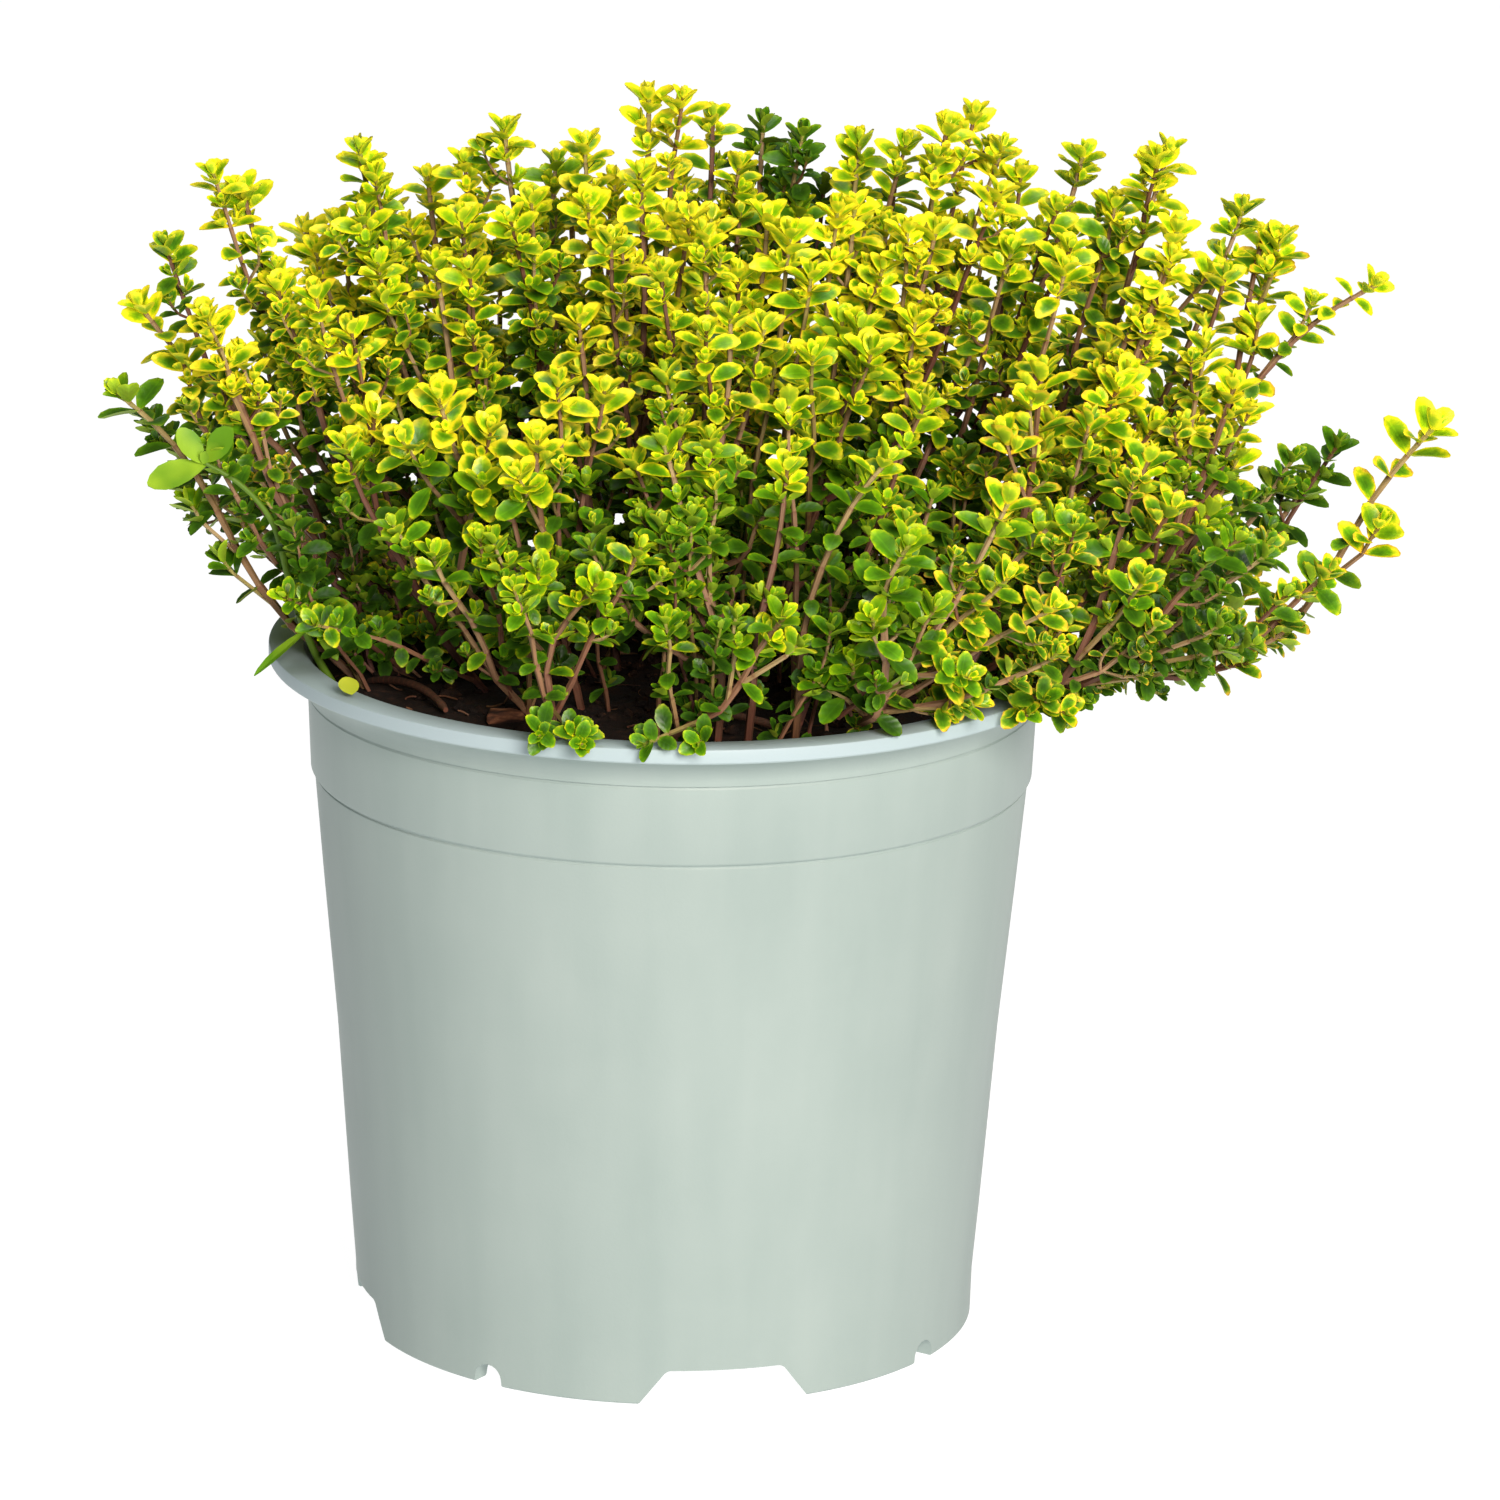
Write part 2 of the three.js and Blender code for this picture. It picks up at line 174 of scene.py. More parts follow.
# Studio: a white table that is lit from within, as a product table is, a large soft key at the right and open fill.
# Places and sizes are in metres
studio = {
    "key": {"place": (0.44, -1.48, 0.82), "size": 0.7, "watts": 42.0, "colour": "#FFF4EC"},
    "fill": {"place": (-1.1, -0.7, 0.8), "size": 1.0, "watts": 0.2, "colour": "#F2F8FF"},
    "top": {"place": (0.0, 0.15, 1.5), "size": 0.8, "watts": 7.0, "colour": "#FFFFFF"},
    "world": 0.06,
    "tableGlow": 0.97,
    "table": "#6A6A68",
    "tableSize": 12.0,
    "lampsAimAt": Vector((potAxisX * mm, 0, 0.12)),
}
for name in ("key", "fill", "top"):
    lamp = studio[name]
    bpy.ops.object.light_add(type="AREA", location=lamp["place"])
    light = bpy.context.object
    light.name = name + "_light"
    light.data.size = lamp["size"]
    light.data.energy = lamp["watts"]
    light.data.color = linear(lamp["colour"])[:3]
    light.rotation_euler = (studio["lampsAimAt"] - Vector(lamp["place"])).to_track_quat("-Z", "Y").to_euler()
world = bpy.data.worlds.new("studio_world")
world.use_nodes = True
world.node_tree.nodes["Background"].inputs["Color"].default_value = (1.0, 1.0, 1.0, 1.0)
world.node_tree.nodes["Background"].inputs["Strength"].default_value = studio["world"]
bpy.context.scene.world = world
bpy.context.scene.view_settings.view_transform = "Standard"

deselectAll()
bpy.ops.mesh.primitive_plane_add(size=studio["tableSize"], location=(0, 0, 0))
floor = bpy.context.object
floor.name = "studio_table"
tableTop, tree, shader = newMaterial("white_table_top", Roughness=0.7)
shader.inputs["Base Color"].default_value = linear(studio["table"])
shader.inputs["Emission Color"].default_value = (1.0, 1.0, 1.0, 1.0)
shader.inputs["Emission Strength"].default_value = studio["tableGlow"]
floor.data.materials.append(tableTop)
print("camera, lights and table made")


# Injection moulded polypropylene: a dense even pastel with a low sheen, faint flow clouds and a fine grain, and a
# lighter, bluer painted highlight on the rim
def pottingPlastic():
    material, tree, shader = newMaterial("moulded_polypropylene", Specular_IOR_Level=0.38)
    where = addNode(tree, "TexCoord")
    clouds = addNode(tree, "TexNoise", {"Vector": (where, "Object"), "Scale": 28.0, "Detail": 5.0, "Roughness": 0.6})
    stretched = addNode(tree, "Mapping", {"Vector": (where, "Object"), "Scale": (1.0, 1.0, 0.12)})
    streaks = addNode(tree, "TexNoise", {"Vector": stretched, "Scale": 90.0, "Detail": 3.0})
    mottle = addNode(tree, "Mix", {0: 0.5, 2: clouds, 3: streaks})
    body = addNode(tree, "ValToRGB", {"Fac": (mottle, 0)}, ramp=[(0.38, "#8F9F9B"), (0.62, "#97A6A2")])
    height = addNode(tree, "SeparateXYZ", {0: (where, "Object")})
    # Painted highlight: from the lip's underside up, the rim takes a lighter, bluer colour, as where it catches the
    # light
    paintedRimHighlight = addNode(tree, "MapRange", {"Value": (height, "Z"), "From Min": 0.1178, "From Max": 0.1184})
    colour = addNode(tree, "Mix", {"Factor": paintedRimHighlight, 6: body, 7: "#A1B3B8"}, data_type="RGBA")
    grain = addNode(tree, "TexNoise", {"Vector": (where, "Object"), "Scale": 1600.0, "Detail": 2.0})
    glossRange = {"From Min": 0.3, "From Max": 0.7, "To Min": 0.42, "To Max": 0.56}
    gloss = addNode(tree, "MapRange", {"Value": clouds, **glossRange})
    bump = addNode(tree, "Bump", {"Height": grain, "Strength": 0.12, "Distance": 0.0002})
    wire(tree, shader, {"Base Color": colour, "Roughness": gloss, "Normal": bump})
    return material


# An outline of (radius, z) points from axis to axis is drawn by extruding one vertex, and then spun about the axis
def spunSolid(outline, steps):
    deselectAll()
    bpy.ops.mesh.primitive_plane_add(size=0.01, location=place(outline[0][0], 0, outline[0][1]))
    obj = bpy.context.object
    settle(obj)
    bpy.ops.object.mode_set(mode="EDIT")
    bpy.ops.mesh.select_mode(type="VERT")
    bpy.ops.mesh.select_all(action="SELECT")
    bpy.ops.mesh.merge(type="CENTER")
    for (r0, z0), (r1, z1) in zip(outline, outline[1:]):
        move = {"value": ((r1 - r0) * mm, 0, (z1 - z0) * mm)}
        bpy.ops.mesh.extrude_region_move(TRANSFORM_OT_translate=move)
    bpy.ops.mesh.select_all(action="SELECT")
    bpy.ops.mesh.spin(steps=steps, angle=2 * math.pi, center=place(0, 0, 0), axis=(0, 0, 1))
    bpy.ops.mesh.select_all(action="SELECT")
    bpy.ops.mesh.remove_doubles(threshold=0.00001)
    bpy.ops.mesh.normals_make_consistent(inside=False)
    bpy.ops.object.mode_set(mode="OBJECT")
    return obj


potShape = {
    "segments": 144,
    "outline": [
        (0, 6.6), (50.2, 6.6), (50.45, 6.35), (50.7, 0.3), (51.0, 0), (54.0, 0), (54.3, 0.3), (54.35, 3.4),
        (54.45, 8.0), (55.4, 19.8), (56.6, 36.0), (57.85, 53.0), (60.4, 80.0), (61.95, 97.6), (61.8, 97.85),
        (61.85, 98.1), (62.45, 98.45), (62.65, 98.8), (63.2, 111.7), (63.05, 111.95), (63.05, 112.2), (63.55, 112.4),
        (63.6, 112.8), (63.75, 113.8), (64.4, 115.3), (65.2, 116.2), (66.3, 117.0), (67.8, 117.6), (69.3, 117.9),
        (69.8, 118.0), (70.0, 118.3), (70.0, 120.2), (69.9, 120.45), (69.6, 120.6), (64.5, 120.45), (64.0, 120.2),
        (63.7, 118.2), (62.0, 112.1), (60.75, 98.1), (59.2, 80.0), (52.9, 9.4), (52.3, 8.5), (51.4, 8.2), (0, 8.2),
    ],
    "notchTurn": 12.1,
    "wideNotch": {"bottom": 32.5, "top": 20.2, "height": 6.2},
    "smallNotch": {"bottom": 6.2, "top": 4.8, "height": 3.6},
    "holes": 8,
    "holeRadius": 3.5,
    "holeRing": 43.0,
    "smoothUnder": 32,
}
notchCut = {"depth": 14, "from": 53.4, "below": 2, "wideCorner": 0.8, "smallCorner": 2.2}


def notchCutter(notch, turn, corner):
    deselectAll()
    bpy.ops.mesh.primitive_cube_add(size=1.0, location=(0, 0, 0))
    cutter = bpy.context.object
    below = notchCut["below"]
    cutter.scale = (notch["bottom"] * mm, notchCut["depth"] * mm, (notch["height"] + below) * mm)
    cutter.location = (0, -notchCut["from"] * mm, (notch["height"] - below) / 2 * mm)
    settle(cutter)
    bpy.ops.object.mode_set(mode="EDIT")
    pick(lambda co, i: co.z > 0)
    bpy.ops.transform.resize(value=(notch["top"] / notch["bottom"], 1, 1))
    mesh = bmesh.from_edit_mesh(cutter.data)
    bpy.ops.mesh.select_all(action="DESELECT")
    bpy.ops.mesh.select_mode(type="EDGE")
    for e in mesh.edges:
        a, b = (v.co for v in e.verts)
        e.select = a.z > 0 and b.z > 0 and abs(a.x - b.x) < 1e-6
    bmesh.update_edit_mesh(cutter.data)
    bpy.ops.mesh.bevel(offset=corner * mm, segments=5)
    bpy.ops.object.mode_set(mode="OBJECT")
    cutter.rotation_euler.z = math.radians(turn)
    cutter.location.x = potAxisX * mm
    settle(cutter)
    return cutter


def makePot():
    pot = spunSolid(potShape["outline"], potShape["segments"])
    cutters = []
    for quarter in range(4):
        turn = potShape["notchTurn"] + 90 * quarter
        cutters.append(notchCutter(potShape["wideNotch"], turn, notchCut["wideCorner"]))
        cutters.append(notchCutter(potShape["smallNotch"], turn + 45, notchCut["smallCorner"]))
    for hole in range(potShape["holes"]):
        turn = math.radians(potShape["notchTurn"] + hole * 360 / potShape["holes"])
        ring = potShape["holeRing"]
        deselectAll()
        bpy.ops.mesh.primitive_cylinder_add(
            vertices=32, radius=potShape["holeRadius"] * mm, depth=6 * mm,
            location=place(ring * math.sin(turn), -ring * math.cos(turn), 7.4),
        )
        settle(bpy.context.object)
        cutters.append(bpy.context.object)
    activate(cutters[0])
    for cutter in cutters:
        cutter.select_set(True)
    bpy.ops.object.join()
    cut = pot.modifiers.new("notches and holes", "BOOLEAN")
    cut.operation = "DIFFERENCE"
    cut.solver = "EXACT"
    cut.object = cutters[0]
    activate(pot)
    bpy.ops.object.modifier_apply(modifier=cut.name)
    bpy.data.objects.remove(cutters[0])
    smooth(pot, potShape["smoothUnder"])
    finishPiece(pot, "nursery_pot", pottingPlastic(), "pot_plastic", "pot")


makePot()
print("pot made")


# Moist peat mix: near black, with brown fibre showing where it has dried, and no shine but on wet grains
def pottingMix(name, lightest):
    material, tree, shader = newMaterial(name, Specular_IOR_Level=0.25)
    where = addNode(tree, "TexCoord")
    lumps = addNode(tree, "TexNoise", {"Vector": (where, "Object"), "Scale": 260.0, "Detail": 6.0, "Roughness": 0.7})
    grains = addNode(tree, "TexVoronoi", {"Vector": (where, "Object"), "Scale": 420.0})
    moist = [(0.32, "#0E0906"), (0.5, "#22150D"), (0.62, "#3A2416"), (0.75, lightest)]
    tone = addNode(tree, "ValToRGB", {"Fac": lumps}, ramp=moist)
    fleckRange = {"From Min": 0.05, "From Max": 0.35, "To Min": 1.3, "To Max": 0.55}
    fleck = addNode(tree, "MapRange", {"Value": (grains, "Distance"), **fleckRange})
    colour = addNode(tree, "Mix", {"Factor": 1.0, 6: tone, 7: fleck}, data_type="RGBA", blend_type="MULTIPLY")
    wet = addNode(tree, "MapRange", {"Value": lumps, "From Min": 0.3, "From Max": 0.6, "To Min": 0.62, "To Max": 0.95})
    bump = addNode(tree, "Bump", {"Height": lumps, "Strength": 0.8, "Distance": 0.0012})
    wire(tree, shader, {"Base Color": colour, "Roughness": wet, "Normal": bump})
    return material


soilShape = {
    "edge": 62.2, "edgeZ": 115.0, "crown": 1.5, "crownTo": 61.75, "ringStep": 2.0, "segments": 150, "lumps": 1.5,
    "surfaceFrom": 114.5, "fadeFrom": 62.4, "fade": 2.0, "crumbs": 700, "fibres": 110,
    "wall": [(0, 8.6), (51.6, 8.6), (59.9, 97.8), (61.2, 111.7)],
}


def soilTop(radius):
    return soilShape["edgeZ"] + soilShape["crown"] * (1 - (radius / soilShape["crownTo"]) ** 2)


def lumpAt(x, y):
    coarse = noise.noise(Vector((x / 9.0, y / 9.0, 1.7)))
    fine = noise.noise(Vector((x / 3.1, y / 3.1, 8.2)))
    return soilShape["lumps"] * (0.65 * coarse + 0.45 * fine)


def makeSoil():
    outline = soilShape["wall"] + [(soilShape["edge"], soilShape["edgeZ"])]
    radius = soilShape["edge"] - soilShape["ringStep"]
    while radius > 0.5:
        outline.append((radius, soilTop(radius)))
        radius -= soilShape["ringStep"]
    outline.append((0, soilTop(0)))
    soil = spunSolid(outline, soilShape["segments"])
    for v in soil.data.vertices:
        x, y, z = v.co.x / mm - potAxisX, v.co.y / mm, v.co.z / mm
        if z > soilShape["surfaceFrom"]:
            fade = min(1.0, (soilShape["fadeFrom"] - math.hypot(x, y)) / soilShape["fade"])
            v.co.z += (lumpAt(x, y) * fade) * mm
    smooth(soil, 60)
    finishPiece(soil, "potting_soil", pottingMix("moist_potting_mix", "#5A3A24"), "soil", "soil")


makeSoil()
print("soil made")


# Joins vertex, face and map lists into one mesh object; the map is named so that the export keeps it
def meshObject(name, vertices, faces, spots=None):
    data = bpy.data.meshes.new(name)
    data.from_pydata(vertices, [], faces)
    if spots is not None:
        layer = data.uv_layers.new(name="OFBake")
        layer.data.foreach_set("uv", np.asarray(spots, dtype=np.float32).ravel())
    data.update()
    obj = bpy.data.objects.new(name, data)
    bpy.context.scene.collection.objects.link(obj)
    return obj


# The leaf map has this many ages across and tints up, and a stem's column on its own map picks the stem's tint. A stem
# shows this many joints over its map's height
mapSteps = 8
stemJoints = 20


# A round stem through points, in mm, with a radius and a map height at each
def addStem(stems, points, radii, heights, column, sides):
    ways = np.gradient(points, axis=0)
    ways /= np.linalg.norm(ways, axis=1)[:, None]
    across = np.cross(ways[0], (0.31, 0.95, 0.05))
    base = len(stems["vertices"])
    turns = np.arange(sides) * 2 * math.pi / sides
    for point, way, radius in zip(points, ways, radii):
        across = across - way * np.dot(across, way)
        across /= np.linalg.norm(across)
        other = np.cross(way, across)
        for turn in turns:
            spot = point + radius * (math.cos(turn) * across + math.sin(turn) * other)
            stems["vertices"].append(place(*spot))
    for ring in range(len(points) - 1):
        low, high = heights[ring], heights[ring + 1]
        for side in range(sides):
            nextSide = (side + 1) % sides
            a, b = base + ring * sides + side, base + ring * sides + nextSide
            stems["faces"].append((a, b, b + sides, a + sides))
            left, right = ((column + 0.06 + 0.88 * (side + k) / sides) / mapSteps for k in (0, 1))
            stems["spots"] += [(left, low), (right, low), (right, high), (left, high)]
    for first, height, order in ((base, heights[0], -1), (base + (len(points) - 1) * sides, heights[-1], 1)):
        stems["faces"].append(tuple(first + i for i in range(sides))[::order])
        stems["spots"] += [((column + 0.5) / mapSteps, height)] * sides


# Thyme stems: thin woody bark, green at the tip, redder at the nodes, brown and corky towards the soil
# The ramp runs from the root to the tip
def stemBark(name, ramp):
    material, tree, shader = newMaterial(name, Roughness=0.62, IOR=1.42)
    sheet = addNode(tree, "UVMap", uv_map="OFBake")
    spot = addNode(tree, "SeparateXYZ", {0: sheet})
    column = addNode(tree, "Math", {0: (spot, "X"), 1: mapSteps}, operation="MULTIPLY")
    tint = addNode(tree, "Math", {0: column}, operation="FLOOR")
    joints = addNode(tree, "Math", {0: (spot, "Y"), 1: stemJoints}, operation="MULTIPLY")
    within = addNode(tree, "Math", {0: joints}, operation="FRACT")
    toJoint = addNode(tree, "Math", {0: within, 1: 0.5}, operation="SUBTRACT")
    toJoint = addNode(tree, "Math", {0: toJoint}, operation="ABSOLUTE")
    ring = addNode(tree, "MapRange", {"Value": toJoint, "From Min": 0.40, "From Max": 0.5, "To Max": 0.6})
    long = addNode(tree, "Mapping", {"Vector": sheet, "Scale": (80.0, 24.0, 1.0)})
    streaks = addNode(tree, "TexNoise", {"Vector": long, "Scale": 1.6, "Detail": 3.0, "Roughness": 0.6})
    age = addNode(tree, "ValToRGB", {"Fac": (spot, "Y")}, ramp=ramp)
    lightRange = {"From Min": 0.3, "From Max": 0.7, "To Min": 0.72, "To Max": 1.2}
    light = addNode(tree, "MapRange", {"Value": streaks, **lightRange})
    byTint = addNode(tree, "Math", {0: tint, 1: mapSteps - 1}, operation="DIVIDE")
    casts = [(0.0, "#AA8686"), (0.4, "#E8D4CC"), (0.7, "#FFF8F0"), (1.0, "#E8EEB8")]
    cast = addNode(tree, "ValToRGB", {"Fac": byTint}, ramp=casts)
    age = addNode(tree, "Mix", {"Factor": 1.0, 6: age, 7: cast}, data_type="RGBA", blend_type="MULTIPLY")
    barked = addNode(tree, "Mix", {"Factor": 1.0, 6: age, 7: light}, data_type="RGBA", blend_type="MULTIPLY")
    colour = addNode(tree, "Mix", {"Factor": ring, 6: barked, 7: "#6B3A2A"}, data_type="RGBA")
    bump = addNode(tree, "Bump", {"Height": streaks, "Strength": 0.5, "Distance": 0.0002})
    wire(tree, shader, {"Base Color": colour, "Normal": bump})
    return material


# Variegated lemon thyme leaf: thin, slightly waxy blade, green along the middle with a crisp yellow edge. Each place on
# the map has a disc for the upper face and one for the lower. The ramps run from the leaf's middle to its edge
leafColours = {
    "young": [(0.0, "#70A20A"), (0.42, "#98BC0C"), (0.66, "#D4DA12"), (0.82, "#F2E424")],
    "middle": [(0.0, "#3E6E09"), (0.42, "#588E0C"), (0.6, "#8CAE0D"), (0.76, "#D8D218"), (0.9, "#F0E026")],
    "old": [(0.0, "#25460D"), (0.5, "#3E6610"), (0.7, "#658618"), (0.84, "#A4A430"), (0.95, "#CCBA46")],
}


def variegatedLeaf():
    material, tree, shader = newMaterial("variegated_thyme_leaf", Specular_IOR_Level=0.26)
    sheet = addNode(tree, "UVMap", uv_map="OFBake")
    spot = addNode(tree, "SeparateXYZ", {0: sheet})
    column = addNode(tree, "Math", {0: (spot, "X"), 1: mapSteps}, operation="MULTIPLY")
    row = addNode(tree, "Math", {0: (spot, "Y"), 1: mapSteps}, operation="MULTIPLY")
    age = addNode(tree, "Math", {0: column}, operation="FLOOR")
    tint = addNode(tree, "Math", {0: row}, operation="FLOOR")
    faces = addNode(tree, "Math", {0: column, 1: 2.0}, operation="MULTIPLY")
    under = addNode(tree, "Math", {0: faces, 1: 2.0}, operation="MODULO")
    under = addNode(tree, "Math", {0: under}, operation="FLOOR")
    acrossLeaf = addNode(tree, "Math", {0: faces}, operation="FRACT")
    disc = {"From Min": 0.05, "From Max": 0.95, "To Min": -1.0}
    acrossLeaf = addNode(tree, "MapRange", {0: acrossLeaf, **disc}, clamp=False)
    alongLeaf = addNode(tree, "Math", {0: row}, operation="FRACT")
    alongLeaf = addNode(tree, "MapRange", {0: alongLeaf, **disc}, clamp=False)
    onLeaf = addNode(tree, "CombineXYZ", {0: acrossLeaf, 1: alongLeaf})
    reach = addNode(tree, "VectorMath", {0: onLeaf}, operation="LENGTH")
    ragged = addNode(tree, "TexNoise", {"Vector": sheet, "Scale": 46.0, "Detail": 2.0})
    wander = {"From Min": 0.25, "From Max": 0.75, "To Min": -0.15, "To Max": 0.15}
    ragged = addNode(tree, "MapRange", {"Value": ragged, **wander})
    edge = addNode(tree, "Math", {0: (reach, "Value"), 1: ragged}, operation="ADD")
    margin = addNode(tree, "MapRange", {"Value": tint, "From Max": 7.0, "To Min": -0.34, "To Max": 0.14})
    edge = addNode(tree, "Math", {0: edge, 1: margin}, operation="ADD")
    byAge = addNode(tree, "Math", {0: age, 1: 0.02}, operation="MULTIPLY")
    edge = addNode(tree, "Math", {0: edge, 1: byAge}, operation="SUBTRACT")
    young, middle, old = (addNode(tree, "ValToRGB", {"Fac": edge}, ramp=ramp) for ramp in leafColours.values())
    toMiddle = addNode(tree, "MapRange", {"Value": age, "From Max": 3.0})
    toOld = addNode(tree, "MapRange", {"Value": age, "From Min": 3.0, "From Max": 7.0})
    colour = addNode(tree, "Mix", {"Factor": toMiddle, 6: young, 7: middle}, data_type="RGBA")
    colour = addNode(tree, "Mix", {"Factor": toOld, 6: colour, 7: old}, data_type="RGBA")
    byTint = addNode(tree, "Math", {0: tint, 1: 3.0}, operation="MULTIPLY")
    byTint = addNode(tree, "Math", {0: byTint, 1: mapSteps}, operation="MODULO")
    rim = addNode(tree, "MapRange", {"Value": edge, "From Min": 0.74, "From Max": 0.88})
    gold = addNode(tree, "MapRange", {"Value": byTint, "From Min": 5.5, "From Max": 7.0, "To Max": 0.7})
    gold = addNode(tree, "Math", {0: gold, 1: rim}, operation="MULTIPLY")
    gold = addNode(tree, "Math", {0: gold, 1: toMiddle}, operation="MULTIPLY")
    colour = addNode(tree, "Mix", {"Factor": gold, 6: colour, 7: "#D6A02E"}, data_type="RGBA")
    light = addNode(tree, "MapRange", {"Value": byTint, "From Max": 7.0, "To Min": 0.94, "To Max": 1.26})
    veins = addNode(tree, "Math", {0: acrossLeaf}, operation="ABSOLUTE")
    ribRange = {"From Min": 0.03, "From Max": 0.1, "To Min": 1.22, "To Max": 1.0}
    midrib = addNode(tree, "MapRange", {"Value": veins, **ribRange})
    light = addNode(tree, "Math", {0: light, 1: midrib}, operation="MULTIPLY")
    colour = addNode(tree, "Mix", {"Factor": 1.0, 6: colour, 7: light}, data_type="RGBA", blend_type="MULTIPLY")
    dull = addNode(tree, "Math", {0: under, 1: 0.3}, operation="MULTIPLY")
    colour = addNode(tree, "Mix", {"Factor": dull, 6: colour, 7: "#C4D638"}, data_type="RGBA")
    waxy = addNode(tree, "MapRange", {"Value": under, "To Min": 0.36, "To Max": 0.6})
    slant = addNode(tree, "Math", {0: veins, 1: 0.7}, operation="MULTIPLY")
    slant = addNode(tree, "Math", {0: alongLeaf, 1: slant}, operation="SUBTRACT")
    slant = addNode(tree, "Math", {0: slant, 1: 11.0}, operation="MULTIPLY")
    quilt = addNode(tree, "Math", {0: slant}, operation="SINE")
    quilt = addNode(tree, "Math", {0: quilt, 1: midrib}, operation="SUBTRACT")
    bump = addNode(tree, "Bump", {"Height": quilt, "Strength": 0.13, "Distance": 0.0001})
    wire(tree, shader, {"Base Color": colour, "Roughness": waxy, "Normal": bump})
    return material


# Leaves are one unit long here. A leaf is a strip of quads, resized row by row, cupped across and curled along, with
# a second face below it that meets the first at the edge
leafShapes = {
    "young": {
        "at": (0, 0.13, 0.34, 0.62, 0.86, 1), "wide": (0.1, 0.34, 0.56, 0.63, 0.48, 0.18),
        "cup": 0.2, "curl": -0.1, "thick": 0.05,
    },
    "grown": {
        "at": (0, 0.14, 0.35, 0.62, 0.86, 1), "wide": (0.07, 0.28, 0.53, 0.62, 0.47, 0.17),
        "cup": 0.14, "curl": -0.16, "thick": 0.05,
    },
    "old": {
        "at": (0, 0.15, 0.36, 0.62, 0.86, 1), "wide": (0.07, 0.25, 0.49, 0.6, 0.45, 0.17),
        "cup": 0.16, "curl": -0.28, "thick": 0.05,
    },
    "bud": {"at": (0, 0.3, 0.75, 1), "wide": (0.1, 0.5, 0.6, 0.2), "cup": 0.2, "curl": 0.1, "thick": 0.07},
    "broad": {
        "at": (0, 0.07, 0.18, 0.34, 0.5, 0.66, 0.82, 0.94, 1), "wide": (0, 0.3, 0.6, 0.8, 0.86, 0.8, 0.58, 0.3, 0),
        "cup": 0.06, "curl": -0.12, "thick": 0.02,
    },
    "narrow": {
        "at": (0, 0.15, 0.35, 0.55, 0.75, 0.92, 1), "wide": (0.04, 0.2, 0.36, 0.43, 0.4, 0.24, 0.06),
        "cup": 0.1, "curl": -0.1, "thick": 0.03,
    },
}


def makeLeafShape(name):
    shape = leafShapes[name]
    rows = len(shape["at"]) - 1
    deselectAll()
    bpy.ops.mesh.primitive_grid_add(x_subdivisions=2, y_subdivisions=rows, size=1, location=(0, 0, 0))
    leaf = bpy.context.object
    bpy.ops.object.mode_set(mode="EDIT")
    for row, (share, width) in enumerate(zip(shape["at"], shape["wide"])):
        pick(lambda co, i: i // 3 == row)
        bpy.ops.transform.resize(value=(width, 1, 1))
        bpy.ops.transform.translate(value=(0, share - row / rows + 0.5, shape["curl"] * share**2))
        pick(lambda co, i: i // 3 == row and i % 3 != 1)
        bpy.ops.transform.translate(value=(0, 0, shape["cup"] * width))
    bpy.ops.mesh.select_all(action="SELECT")
    bpy.ops.mesh.duplicate()
    bpy.ops.mesh.flip_normals()
    upper = 3 * (rows + 1)
    pick(lambda co, i: i >= upper and i % 3 == 1 and 0 < (i - upper) // 3 < rows)
    bpy.ops.transform.translate(value=(0, 0, -shape["thick"]))
    bpy.ops.mesh.select_all(action="SELECT")
    bpy.ops.mesh.remove_doubles(threshold=0.0001)
    bpy.ops.object.mode_set(mode="OBJECT")
    data = leaf.data
    spots = []
    for polygon in data.polygons:
        for loop in polygon.loop_indices:
            u, v = data.uv_layers[0].data[loop].uv
            lowerFace = 0.0 if polygon.normal.z > 0 else 1.0
            spots.append(((2 * u - 1) * math.sin(math.pi * v), -math.cos(math.pi * v), lowerFace))
    shape["points"] = np.array([v.co for v in data.vertices])
    shape["faces"] = [tuple(polygon.vertices) for polygon in data.polygons]
    shape["spots"] = np.array(spots)
    bpy.data.objects.remove(leaf)


for name in leafShapes:
    makeLeafShape(name)
print("leaf shapes made:", {name: len(leafShapes[name]["faces"]) for name in leafShapes})

# Leaves stay this far inside the CAD box, and clear of the soil and of the rim, in mm
clear = {"box": 0.3, "soilTo": 63, "soil": 0.5, "rimFrom": 61.5, "rimTo": 70.4, "rimTop": 121.0}
boxLow = np.array(cadBox[0]) / mm - (potAxisX, 0, 0) + clear["box"]
boxHigh = np.array(cadBox[1]) / mm - (potAxisX, 0, 0) - clear["box"]


def fits(points):
    if (points < boxLow).any() or (points > boxHigh).any():
        return False
    reach = np.hypot(points[:, 0], points[:, 1])
    inSoil = (reach < clear["soilTo"]) & (points[:, 2] < soilTop(reach) + clear["soil"])
    inRim = (reach > clear["rimFrom"]) & (reach < clear["rimTo"]) & (points[:, 2] < clear["rimTop"])
    return not (inSoil | inRim).any()


acrossStem = (0.27, 0.96, 0.08)  # turns about a stem are counted from the square to this


# The way out of a stem that runs along way, at a turn about it
def outOf(way, turn):
    side = np.cross(way, acrossStem)
    side /= np.linalg.norm(side)
    return side * math.cos(turn) + np.cross(way, side) * math.sin(turn)


# Sets one leaf on a stem that runs along way: it leaves at a turn about the stem and rises above the square to it, and
# the share toLight of its face turns to the light, which falls from above and the front
lightWay = np.array((0.06, -0.55, 0.84))


